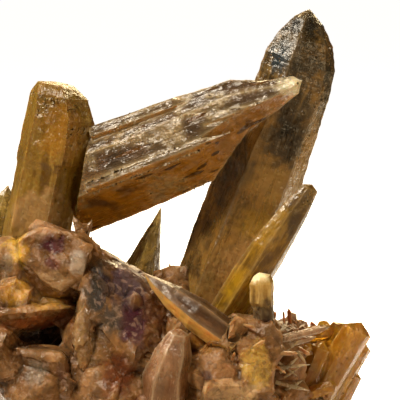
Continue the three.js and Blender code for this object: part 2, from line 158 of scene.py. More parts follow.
class Graph:
    """The node tree of one material."""

    # Sockets whose names repeat or differ between versions go by number.
    OBJECT_PLACE = 3
    NOISE_COLOUR = 1
    CELL_COLOUR = 1
    NUMBER = 1
    STORED_NUMBER = 2
    MIX_SHARE, MIX_FIRST, MIX_SECOND, MIX_RESULT = 0, 6, 7, 2
    MIDDLE = (0.5, 0.5, 0.5)

    def __init__(self, name: str) -> None:
        """Starts an empty material.

        Args:
            name: the material's name.
        """
        self.material = bpy.data.materials.new(name)
        self.material.use_nodes = True
        self.tree = self.material.node_tree
        self.tree.nodes.clear()

    def node(self, kind: str, settings: dict[str, object] | None = None,
             sockets: dict[int | str, object] | None = None, out: int = 0) -> Value:
        """Adds a node.

        Args:
            kind: the node's type name.
            settings: its properties, which are set first.
            sockets: values or links of its input sockets, by name or number.
            out: the number of the output that is returned.

        Returns:
            That output.
        """
        made = self.tree.nodes.new(kind)
        for name, value in (settings or {}).items():
            setattr(made, name, value)
        for key, value in (sockets or {}).items():
            if isinstance(value, Value):
                self.tree.links.new(value.socket, made.inputs[key])
            else:
                made.inputs[key].default_value = value
        return Value(self, made.outputs[out])

    def vectors(self, operation: str, first: object, second: object, out: int = 0) -> Value:
        """The result of a Vector Math node on two vectors."""
        return self.node("ShaderNodeVectorMath", {"operation": operation},
                         {0: first, 1: second}, out)

    def scaled(self, vector: Value, factor: float) -> Value:
        """A vector made longer, or a colour made brighter."""
        return self.node("ShaderNodeVectorMath", {"operation": "SCALE"},
                         {0: vector, "Scale": factor})

    def point(self) -> Value:
        """The shaded point in the specimen's millimetres."""
        own = self.node("ShaderNodeTexCoord", out=self.OBJECT_PLACE)
        return self.scaled(self.vectors("SUBTRACT", own, SPECIMEN.shift), 1 / MM)

    def along(self, point: Value, direction: object) -> Value:
        """How far a point lies along a direction."""
        return self.vectors("DOT_PRODUCT", point, direction, self.NUMBER)

    def vector(self, x: object, y: object, z: object) -> Value:
        """A vector of three values."""
        return self.node("ShaderNodeCombineXYZ", sockets={0: x, 1: y, 2: z})

    def noise(self, vector: Value, scale: float, detail: float = 3.0,
              distortion: float = 0.0) -> Value:
        """Smooth noise around 0.5. Scale is in waves a millimetre."""
        return self.node("ShaderNodeTexNoise", sockets={
            "Vector": vector, "Scale": scale, "Detail": detail, "Distortion": distortion})

    def cells(self, vector: Value, scale: float) -> Value:
        """The distance to the nearest of scattered points."""
        return self.node("ShaderNodeTexVoronoi", sockets={"Vector": vector, "Scale": scale})

    def warped(self, point: Value, scale: float, amount: float) -> Value:
        """A point moved about by noise.

        Args:
            point: the point, in millimetres.
            scale: the noise's waves a millimetre.
            amount: about twice the farthest move, in millimetres.

        Returns:
            The moved point.
        """
        noise = self.node("ShaderNodeTexNoise", sockets={"Vector": point, "Scale": scale},
                          out=self.NOISE_COLOUR)
        move = self.scaled(self.vectors("SUBTRACT", noise, self.MIDDLE), amount)
        return self.vectors("ADD", point, move)

    def facets(self, vector: Value, scale: float) -> tuple[Value, Value]:
        """Flat facets that each tilt their own way.

        Args:
            vector: the point, in millimetres.
            scale: how many facets come on a millimetre.

        Returns:
            Their height, which slopes by up to 1, and a random tone from 0 to 1 for each facet.
        """
        tone = self.node("ShaderNodeTexVoronoi", sockets={"Vector": vector, "Scale": scale},
                         out=self.CELL_COLOUR)
        centre = Value(self, tone.socket.node.outputs["Position"])
        tilt = self.vectors("SUBTRACT", tone, self.MIDDLE)
        away = self.vectors("SUBTRACT", vector, centre)
        return self.along(away, tilt) * 2.0, tone

    def mix(self, share: object, first: object, second: object) -> Value:
        """A colour between two, first at 0 and second at 1."""
        sockets = {self.MIX_SHARE: share, self.MIX_FIRST: first, self.MIX_SECOND: second}
        return self.node("ShaderNodeMix", {"data_type": "RGBA"}, sockets, self.MIX_RESULT)

    def attribute(self, name: str) -> Value:
        """A number stored on the mesh."""
        return self.node("ShaderNodeAttribute", {"attribute_name": name}, out=self.STORED_NUMBER)

    def bump(self, height: Value, depth: float, after: Value | None = None) -> Value:
        """The normal of a surface with this relief.

        Args:
            height: from 0 to 1.
            depth: the relief's depth in millimetres.
            after: a normal that the relief is added to.

        Returns:
            The normal.
        """
        sockets: dict[int | str, object] = {"Height": height, "Distance": depth * MM}
        if after is not None:
            sockets["Normal"] = after
        return self.node("ShaderNodeBump", sockets=sockets)

    def output(self, surface: Value, volume: Value | None = None) -> bpy.types.Material:
        """Ends the graph.

        Args:
            surface: the shader of the surface.
            volume: the shader of the inside.

        Returns:
            The finished material.
        """
        sockets: dict[int | str, object] = {"Surface": surface}
        if volume is not None:
            sockets["Volume"] = volume
        made = self.tree.nodes.new("ShaderNodeOutputMaterial")
        for key, value in sockets.items():
            self.tree.links.new(value.socket, made.inputs[key])
        return self.material


@dataclass(frozen=True)
class Axes:
    """Directions of a crystal: along it, to its side in the view from the front, and back."""

    along: Vector
    side: Vector
    back: Vector

    @classmethod
    def towards(cls, direction: Triple) -> "Axes":
        """The axes of a crystal that points this way.

        Args:
            direction: from its foot to its tip, at any length.

        Returns:
            Its axes, each one unit long and square to the others.
        """
        along = Vector(direction).normalized()
        side = Vector((0.0, 1.0, 0.0)).cross(along).normalized()
        return cls(along, side, along.cross(side).normalized())

    @classmethod
    def of(cls, node: str) -> "Axes":
        """The axes of a solid, whose longest direction points up.

        Args:
            node: the solid's node.

        Returns:
            Its axes.
        """
        points = np.array([vertex.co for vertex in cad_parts[node].data.vertices])
        _, _, directions = np.linalg.svd(points - points.mean(axis=0), full_matrices=False)
        longest = directions[0] * (1 if directions[0][2] > 0 else -1)
        return cls.towards(tuple(float(part) for part in longest))

    def split(self, points: np.ndarray) -> tuple[np.ndarray, np.ndarray, np.ndarray]:
        """How far points lie along, to the side and back."""
        return tuple(points @ np.array(way) for way in (self.along, self.side, self.back))


@dataclass(frozen=True)
class Patch:
    """A zone of another colour in a stone: where it is, how far it reaches, and its colour."""

    # The distances, as shares of its reach, at which a patch starts to show and is full.
    FADE = (1.15, 0.55)

    at: Triple
    reach: Triple
    colour: str
    amount: float = 1.0

    def over(self, graph: Graph, point: Value, ragged: Value, below: Value) -> Value:
        """Lays this patch over a colour.

        Args:
            graph: the material's graph.
            point: the point in the specimen's millimetres.
            ragged: noise around 0 that makes the patch's outline uneven.
            below: the colour that it covers.

        Returns:
            The colour with the patch.
        """
        moved = graph.vectors("SUBTRACT", point, self.at)
        shares = graph.vectors("MULTIPLY", moved, tuple(1 / reach for reach in self.reach))
        distance = graph.node("ShaderNodeVectorMath", {"operation": "LENGTH"}, {0: shares},
                              graph.NUMBER)
        mask = (distance + ragged).step(*self.FADE) * self.amount
        return graph.mix(mask, below, tint(self.colour))


@dataclass(frozen=True)
class CrystalFinish:
    """A clouded, glassy crystal with streaks along it, painted sparkles in it, and paler edges
    that are partly wear and partly a painted highlight.
    """

    name: str
    # Colours of its clouds and streaks, and of its edges, which are partly wear and partly a
    # painted highlight.
    deep: str
    body: str
    light: str
    rim: str
    rim_amount: float = 0.5
    # Clouds and streaks: waves a millimetre, how strong, how far drawn out, and how deep.
    cloud: float = 0.35
    streak: float = 2.2
    streak_amount: float = 0.75
    stretch: float = 9.0
    streak_depth: float = 0.05
    # Small facets that glint, long flat laths with slits between them, and lines across.
    glint: float = 0.14
    glint_scale: float = 2.6
    lath: float = 0.0
    lath_scale: float = 3.2
    lath_stretch: float = 4.0
    slit_depth: float = 0.15
    across_depth: float = 0.0
    # How it takes light at its surface and inside.
    roughness: float = 0.28
    gloss: float = 0.3
    clearness: float = 0.4
    transmission: float = 0.9
    ior: float = 1.75
    milk: float = 0.35
    milk_colours: Triple = (1.0, 0.6, 0.3)
    milk_reach: float = 1.2
    absorbed: str = "b07a30"
    absorption: float = 120.0
    # Painted sparkles, painted shade in the relief's grooves and painted light on its ridges,
    # painted light on the faces that look down (painted shade there in some finishes), and its
    # patches.
    painted_sparkle: float = 0.35
    shade: float = 0.35
    painted_underside: str = "5a3a10"
    painted_underside_dark_and_slit_shade: str = "3c2404"
    painted_underside_amount: float = 0.0
    patches: tuple[Patch, ...] = ()

    def material(self, axes: Axes) -> bpy.types.Material:
        """Builds the material.

        Args:
            axes: the crystal's own directions, which its streaks follow.

        Returns:
            The finished material.
        """
        graph = Graph(self.name)
        point = graph.point()
        side = graph.along(point, axes.side)
        back = graph.along(point, axes.back)
        along = graph.along(point, axes.along)
        drawn = graph.vector(side, back, along * (1 / self.stretch))
        clouds = graph.noise(point, self.cloud, 4.0, 0.6)
        streaks = graph.noise(drawn, self.streak, 3.0, 0.3)
        ragged = graph.noise(point, 1.1, 3.0) * 1.4 - 0.7
        colour = graph.mix(clouds.step(0.35, 0.62), tint(self.deep), tint(self.body))
        amount = self.streak_amount
        colour = graph.mix(streaks.step(0.52, 0.74) * amount, colour, tint(self.light))
        colour = graph.mix(streaks.step(0.46, 0.28) * amount, colour, tint(self.deep))
        relief = graph.attribute("relief")
        # Painted shade in the relief's grooves and painted light on its ridges.
        colour = graph.mix(relief.step(0.5, 0.1) * self.shade, colour, tint(self.deep))
        colour = graph.mix(relief.step(0.6, 1.0) * self.shade, colour, tint(self.light))
        # Painted light on the faces that look down, standing in for light that shines through;
        # darker in some finishes, as painted shade.
        if self.painted_underside_amount:
            glow = graph.mix(clouds.step(0.35, 0.55), tint(self.painted_underside_dark_and_slit_shade), tint(self.painted_underside))
            colour = graph.mix(graph.attribute("painted_underside") * self.painted_underside_amount, colour, glow)
        for patch in self.patches:
            colour = patch.over(graph, point, ragged, colour)
        # Painted sparkles: pale spots, where the noise lets them show, standing in for glints.
        painted_sparkle_spots = graph.cells(point, 3.2).step(0.24, 0.08)
        lit = graph.noise(point, 0.8, 2.0).step(0.45, 0.65)
        colour = graph.mix(painted_sparkle_spots * lit * self.painted_sparkle, colour, tint(self.light))
        # Paler edges: partly wear, partly a painted highlight along them.
        rim = graph.attribute("rim") * self.rim_amount
        colour = graph.mix(rim.clamped(), colour, tint(self.rim))
        rough = (streaks * 0.25 + (self.roughness - 0.1) + rim * 0.15).clamped()
        fine = graph.noise(drawn, self.streak * 3.5, 2.0)
        normal = graph.bump(fine, self.streak_depth)
        if self.lath:
            lying = graph.vector(side, back, along * (1 / self.lath_stretch))
            laths, _ = graph.facets(lying, self.lath_scale)
            normal = graph.bump(laths, self.lath, normal)
            cuts = graph.noise(graph.vector(side, back, along * 0.11), 1.5, 1.0)
            slit = cuts.step(0.64, 0.67)
            normal = graph.bump(slit * -1.0, self.slit_depth, normal)
            # Painted shade in the slits.
            colour = graph.mix(slit, colour, tint(self.painted_underside_dark_and_slit_shade))
        small, _ = graph.facets(graph.warped(point, 1.5, 0.6), self.glint_scale)
        normal = graph.bump(small, self.glint, normal)
        if self.across_depth:
            lines = graph.vector(side * 0.15, back * 0.15, along)
            normal = graph.bump(graph.noise(lines, 4.5, 2.0), self.across_depth, normal)
        shared = {"Base Color": colour, "Roughness": rough, "Normal": normal,
                  "IOR": self.ior, "Specular IOR Level": self.gloss}
        milky = graph.node("ShaderNodeBsdfPrincipled", sockets={
            **shared, "Subsurface Weight": self.milk,
            "Subsurface Radius": self.milk_colours, "Subsurface Scale": self.milk_reach * MM})
        clear = graph.node("ShaderNodeBsdfPrincipled", sockets={
            **shared, "Transmission Weight": self.transmission})
        share = (clouds.step(0.3, 0.7) * 0.6 + (self.clearness - 0.3)).clamped()
        surface = graph.node("ShaderNodeMixShader", sockets={0: share, 1: milky, 2: clear})
        volume = graph.node("ShaderNodeVolumeAbsorption", sockets={
            "Color": tint(self.absorbed), "Density": self.absorption})
        return graph.output(surface, volume)


@dataclass(frozen=True)
class CrustFinish:
    """The crust: waxy, broken crystal in many warm colours, with wet glints."""

    name: str
    deep: str
    body: str
    light: str
    pale_speck: str = "b89a88"
    dark_speck: str = "3c1e16"
    speckle: float = 0.4
    # How much painted light the crests get and how much paler all of it is, and how much painted
    # shade darkens the hollows.
    crest: float = 0.3
    lift: float = 0.0
    hollow: float = 0.7
    hollow_shade: float = 0.35
    # Broad and small facets to a millimetre, their slopes, and the fine grain's depth.
    broad_scale: float = 0.55
    small_scale: float = 2.2
    facet_slope: float = 0.3
    small_slope: float = 0.45
    grain_depth: float = 0.09
    roughness: float = 0.18
    gloss: float = 0.22
    ior: float = 1.7
    milk: float = 0.6
    milk_colours: Triple = (1.0, 0.55, 0.3)
    milk_reach: float = 1.2

    def material(self, patches: tuple[Patch, ...]) -> bpy.types.Material:
        """Builds the material.

        Args:
            patches: its patches of colour.

        Returns:
            The finished material.
        """
        graph = Graph(self.name)
        point = graph.point()
        clouds = graph.noise(point, 0.3, 5.0, 0.8)
        mottle = graph.noise(point, 1.3, 4.0, 0.4)
        ragged = graph.noise(point, 0.7, 4.0, 0.5) * 1.8 - 0.9
        colour = graph.mix(clouds.step(0.32, 0.6), tint(self.deep), tint(self.body))
        for patch in patches:
            colour = patch.over(graph, point, ragged, colour)
        warped = graph.warped(point, 0.6, 1.2)
        broad, broad_tone = graph.facets(warped, self.broad_scale)
        small, small_tone = graph.facets(warped, self.small_scale)
        speckle = graph.noise(warped, 1.7, 5.0, 0.1)
        colour = graph.mix(speckle.step(0.54, 0.68) * self.speckle, colour,
                           tint(self.pale_speck))
        colour = graph.mix(speckle.step(0.46, 0.34) * self.speckle, colour,
                           tint(self.dark_speck))
        tone = broad_tone * 0.4 + small_tone * 0.3 + mottle * 0.5
        colour = graph.mix(tone.step(0.6, 0.85), colour, graph.scaled(colour, 1.35))
        colour = graph.mix(tone.step(0.54, 0.34), colour, graph.scaled(colour, 0.65))
        # Painted shade in the hollows.
        hollow = graph.attribute("hollow")
        colour = graph.mix((hollow * self.hollow).clamped(), colour,
                           graph.scaled(colour, self.hollow_shade))
        # Painted light on the crests.
        crest = graph.attribute("crest")
        colour = graph.mix((crest * self.crest + self.lift).clamped(), colour, tint(self.light))
        rough = (clouds.step(0.35, 0.65) * 0.4 + self.roughness).clamped()
        normal = graph.bump(broad, self.facet_slope)
        normal = graph.bump(small, self.facet_slope * self.small_slope, normal)
        normal = graph.bump(graph.noise(point, 4.5, 4.0), self.grain_depth, normal)
        surface = graph.node("ShaderNodeBsdfPrincipled", sockets={
            "Base Color": colour, "Roughness": rough, "Normal": normal, "IOR": self.ior,
            "Specular IOR Level": self.gloss, "Subsurface Weight": self.milk,
            "Subsurface Radius": self.milk_colours, "Subsurface Scale": self.milk_reach * MM})
        return graph.output(surface)


class Grain:
    """Smooth random relief in space, the same each run."""

    TABLE = 4096
    STRIDES = (73856093, 19349663, 83492791)

    def __init__(self, seed: int) -> None:
        """Fills the table of random values."""
        self.table = np.random.default_rng(seed).uniform(-1.0, 1.0, self.TABLE)

    def value(self, points: np.ndarray) -> np.ndarray:
        """Values from -1 to 1. One wave takes about two units.

        Args:
            points: the points, as rows.

        Returns:
            One value a point.
        """
        cell = np.floor(points).astype(np.int64)
        share = points - cell
        share = share * share * (3 - 2 * share)
        total = np.zeros(len(points))
        for corner in range(8):
            step = np.array([corner & 1, corner >> 1 & 1, corner >> 2 & 1])
            weight = np.prod(np.where(step, share, 1 - share), axis=1)
            keys = (cell + step) * np.array(self.STRIDES)
            place = np.bitwise_xor.reduce(keys, axis=1) & (self.TABLE - 1)
            total += weight * self.table[place]
        return total

    def layers(self, points: np.ndarray, count: int) -> np.ndarray:
        """The sum of several finer and fainter layers."""
        return sum(self.value(points * 2.03 ** layer + 17 * layer) / 1.9 ** layer
                   for layer in range(count))


class Skin:
    """A mesh in the making, with its vertices as rows of an array."""

    def __init__(self, bm: bmesh.types.BMesh, name: str) -> None:
        """Turns a bmesh into a mesh and reads its vertices.

        Args:
            bm: the bmesh, which is freed.
            name: the mesh's name.
        """
        self.mesh = bpy.data.meshes.new(name)
        bm.to_mesh(self.mesh)
        bm.free()
        self.read()

    def read(self) -> None:
        """Reads places and normals from the mesh."""
        count = len(self.mesh.vertices)
        flat = np.zeros(count * 3)
        self.mesh.vertices.foreach_get("co", flat)
        self.points = flat.reshape(-1, 3).copy()
        normals = np.zeros(count * 3, np.float32)
        self.mesh.vertex_normals.foreach_get("vector", normals)
        self.normals = normals.reshape(-1, 3).astype(float)

    def write(self) -> None:
        """Writes the places back."""
        self.mesh.vertices.foreach_set("co", self.points.ravel())
        self.mesh.update()

    def push(self, heights: np.ndarray) -> None:
        """Moves each vertex along its normal by a height in millimetres."""
        self.points = self.points + self.normals * (heights * MM)[:, None]
        self.write()

    def store(self, name: str, values: np.ndarray) -> None:
        """Keeps a number for each vertex on the mesh."""
        layer = self.mesh.attributes.new(name, "FLOAT", "POINT")
        layer.data.foreach_set("value", values.astype(np.float32))


def solid_of(node: str) -> bmesh.types.BMesh:
    """A merged copy of a solid.

    Args:
        node: the solid's node.

    Returns:
        The copy, which the caller frees.
    """
    bm = bmesh.new()
    bm.from_mesh(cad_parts[node].data)
    bmesh.ops.remove_doubles(bm, verts=bm.verts, dist=0.001 * MM)
    return bm


def refine(bm: bmesh.types.BMesh, longest: float) -> None:
    """Splits edges until none is longer, and leaves every face flat.

    Args:
        bm: the mesh.
        longest: the longest edge that may stay, in millimetres.
    """
    for _ in range(MOST_SPLITS):
        edges = [edge for edge in bm.edges if edge.calc_length() > longest * MM]
        if not edges:
            return
        bmesh.ops.subdivide_edges(bm, edges=edges, cuts=1)
        wide = [face for face in bm.faces if len(face.verts) > 3]
        bmesh.ops.triangulate(bm, faces=wide)


def rim_distance(bm: bmesh.types.BMesh, angle: float) -> np.ndarray:
    """How far each vertex is from the nearest sharp edge.

    Args:
        bm: the mesh.
        angle: the least angle of a sharp edge, in degrees.

    Returns:
        The distances in millimetres.
    """
    limit = math.radians(angle)
    sharp = {vertex.index for edge in bm.edges if edge.calc_face_angle(0.0) > limit
             for vertex in edge.verts}
    if not sharp:
        return np.full(len(bm.verts), NO_RIM)
    tree = KDTree(len(sharp))
    for index in sharp:
        tree.insert(bm.verts[index].co, index)
    tree.balance()
    return np.array([tree.find(vertex.co)[2] / MM for vertex in bm.verts])


def settle(name: str, mesh: bpy.types.Mesh, slot: str, *nodes: str) -> bpy.types.Object:
    """Makes a finished mesh a piece of the specimen.

    Args:
        name: the piece's name.
        mesh: its mesh, in place.
        slot: not used.
        nodes: the solids that it stands for.

    Returns:
        The piece.
    """
    piece = bpy.data.objects.new(name, mesh)
    bpy.context.scene.collection.objects.link(piece)
    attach(piece, BODY)
    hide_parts(*nodes)
    LOG.info("%s: %d faces", name, len(mesh.polygons))
    return piece


@dataclass(frozen=True)
class Relief:
    """How uneven a crystal's faces are. Depths and pitches are in millimetres."""

    ridge: float = 0.05
    ridge_pitch: float = 0.9
    step: float = 0.0
    step_pitch: float = 0.8
    swell: float = 0.08
    grain: float = 0.015
    chip: float = 0.12
    stretch: float = 12.0
    swell_pitch: float = 3.5
    grain_pitch: float = 0.35
    chip_pitch: float = 0.8
    chip_reach: float = 0.28
    step_slant: float = 0.12

    def heights(self, points: np.ndarray, axes: Axes, rim: np.ndarray, seed: int) -> np.ndarray:
        """The height of the relief at points.

        Args:
            points: places in the specimen's millimetres.
            axes: the crystal's directions, which the ridges follow.
            rim: distances to the nearest sharp edge.
            seed: the seed of the random parts.

        Returns:
            Heights in millimetres, mostly below 0.
        """
        grain = Grain(seed)
        along, side, back = axes.split(points)
        drawn = np.stack([side, back, along / self.stretch], axis=1)
        ridges = 1 - np.abs(grain.layers(drawn / self.ridge_pitch, 3))
        level = np.stack([side * self.step_slant, back * self.step_slant, along], axis=1)
        steps = grain.layers(level / self.step_pitch + 31, 2)
        swell = grain.value(points / self.swell_pitch + 7)
        fine = grain.layers(points / self.grain_pitch, 2)
        uneven = 0.5 + 0.5 * grain.layers(points / self.chip_pitch + 5, 2)
        wear = np.exp(-(rim / self.chip_reach) ** 2) * uneven
        return (self.ridge * (ridges - 0.6) + self.step * steps + self.swell * (swell - 0.6)
                + self.grain * fine - self.chip * wear)


@dataclass
class Crystal:
    """One crystal: a fine copy of its solid with relief, worn edges and a finish."""

    name: str
    node: str
    slot: str
    finish: CrystalFinish
    relief: Relief = field(default_factory=Relief)
    fineness: float = 0.22
    sharp_angle: float = 28.0
    rim_width: float = 0.25
    seed: int = 1

    def axes(self) -> Axes:
        """The crystal's directions."""
        return Axes.of(self.node)

    def heights(self, points: np.ndarray, rim: np.ndarray) -> np.ndarray:
        """The height of the relief at points, in millimetres."""
        return self.relief.heights(points, self.axes(), rim, self.seed)

    def dress(self, mesh: bpy.types.Mesh) -> None:
        """Gives the mesh its material."""
        mesh.materials.append(self.finish.material(self.axes()))

    def body(self) -> bmesh.types.BMesh:
        """The crystal's plain form."""
        return solid_of(self.node)

    def build(self) -> bpy.types.Object:
        """Builds the crystal.

        Returns:
            The finished piece.
        """
        bm = self.body()
        refine(bm, self.fineness)
        bm.verts.index_update()
        bm.verts.ensure_lookup_table()
        rim = rim_distance(bm, self.sharp_angle)
        skin = Skin(bm, self.name)
        # How much each vertex looks down: where the finish paints light on the underside, and
        # shade in some finishes.
        skin.store("painted_underside", np.clip(0.5 - skin.normals[:, 2] * 4, 0, 1))
        heights = self.heights(SPECIMEN.millimetres(skin.points), rim)
        low, high = np.percentile(heights, (8, 92))
        skin.store("relief", np.clip((heights - low) / (high - low), 0, 1))
        skin.push(heights)
        skin.store("rim", np.exp(-rim / self.rim_width))
        skin.mesh.materials.clear()
        self.dress(skin.mesh)
        skin.mesh.polygons.foreach_set("use_smooth", [True] * len(skin.mesh.polygons))
        skin.mesh.set_sharp_from_angle(angle=math.radians(self.sharp_angle))
        return settle(self.name, skin.mesh, self.slot, self.node)


@dataclass
class CrossedPrisms(Crystal):
    """The honey prism and the striated prism that leans out of it: one solid, two finishes."""

    honey_way: Triple = (3.4, 0.5, 21.2)
    leaning_way: Triple = (23.5, -7.2, 9.6)
    seam_high: Triple = (-10.4, 0.0, 35.2)
    seam_low: Triple = (-12.7, 0.0, 22.0)
    seam_blend: float = 0.8
    leaning_relief: Relief = field(default_factory=Relief)
    leaning_finish: CrystalFinish | None = None

    def right_of_seam(self, points: np.ndarray) -> np.ndarray:
        """How far points lie to the right of the seam.

        Args:
            points: places in the specimen's millimetres.

        Returns:
            Distances in millimetres, below 0 on the left.
        """
        line = Vector(self.seam_high) - Vector(self.seam_low)
        square = np.array(Vector((line.z, 0.0, -line.x)).normalized())
        return (points - np.array(self.seam_low)) @ square

    def heights(self, points: np.ndarray, rim: np.ndarray) -> np.ndarray:
        """The relief of each prism, with a short blend at the seam.

        Args:
            points: places in the specimen's millimetres.
            rim: distances to the nearest sharp edge.

        Returns:
            Heights in millimetres.
        """
        share = np.clip(self.right_of_seam(points) / self.seam_blend + 0.5, 0, 1)
        honey = self.relief.heights(points, Axes.towards(self.honey_way), rim, self.seed)
        leaning = self.leaning_relief.heights(
            points, Axes.towards(self.leaning_way), rim, self.seed + 1)
        return honey * (1 - share) + leaning * share

    def dress(self, mesh: bpy.types.Mesh) -> None:
        """Gives each prism its finish.

        Args:
            mesh: the mesh of both.
        """
        mesh.materials.append(self.finish.material(Axes.towards(self.honey_way)))
        mesh.materials.append(self.leaning_finish.material(Axes.towards(self.leaning_way)))
        centres = np.zeros(len(mesh.polygons) * 3)
        mesh.polygons.foreach_get("center", centres)
        centres = SPECIMEN.millimetres(centres.reshape(-1, 3))
        mesh.polygons.foreach_set("material_index",
                                  (self.right_of_seam(centres) > 0).astype(np.int32))


def corner_angles() -> list[float]:
    """The angles of the corners of a six-sided crystal."""
    return [math.tau * corner / SIDES for corner in range(SIDES)]


def close_rings(bm: bmesh.types.BMesh, rings: list[list[bmesh.types.BMVert]]) -> None:
    """Joins rings of corners into a closed prism.

    Args:
        bm: the mesh.
        rings: the rings, from the foot up.
    """
    for low, high in zip(rings, rings[1:]):
        for corner in range(SIDES):
            after = (corner + 1) % SIDES
            bm.faces.new((low[corner], low[after], high[after], high[corner]))
    bm.faces.new(rings[0][::-1])
    bm.faces.new(rings[-1])


@dataclass(frozen=True)
class Sprig:
    """A small six-sided crystal, from its foot to its tip."""

    # The width at the shoulder, as a share of the foot's.
    NECK = 0.88

    foot: Triple
    tip: Triple
    radius: float
    shoulder: float = 0.75
    end: float = 0.2

    def add_to(self, bm: bmesh.types.BMesh) -> None:
        """Adds the crystal to a mesh.

        Args:
            bm: the mesh.
        """
        foot, tip = Vector(self.foot), Vector(self.tip)
        way = Axes.towards(tuple(tip - foot))
        rings = []
        for share, width in ((0.0, 1.0), (self.shoulder, self.NECK), (1.0, self.end)):
            middle = foot.lerp(tip, share)
            corners = []
            for angle in corner_angles():
                out = way.side * math.cos(angle) + way.back * math.sin(angle)
                spot = middle + out * self.radius * width
                corners.append(bm.verts.new(SPECIMEN.place(tuple(spot))))
            rings.append(corners)
        close_rings(bm, rings)
        bmesh.ops.recalc_face_normals(bm, faces=bm.faces)


@dataclass
class SprigGroup(Crystal):
    """Small crystals that stand on the crust at chosen places, in one piece."""

    sprigs: tuple[Sprig, ...] = ()

    def axes(self) -> Axes:
        """Straight up: the small crystals share one grain."""
        return Axes.towards((0.0, 0.0, 1.0))

    def body(self) -> bmesh.types.BMesh:
        """All the small crystals.

        Returns:
            Their meshes in one.
        """
        bm = bmesh.new()
        for sprig in self.sprigs:
            sprig.add_to(bm)
        bmesh.ops.triangulate(bm, faces=bm.faces)
        return bm


class Mask(Enum):
    """Where small crystals grow: everywhere on the crust, or in the needle fields."""

    CRUST = 0.0
    FIELDS = 1.0


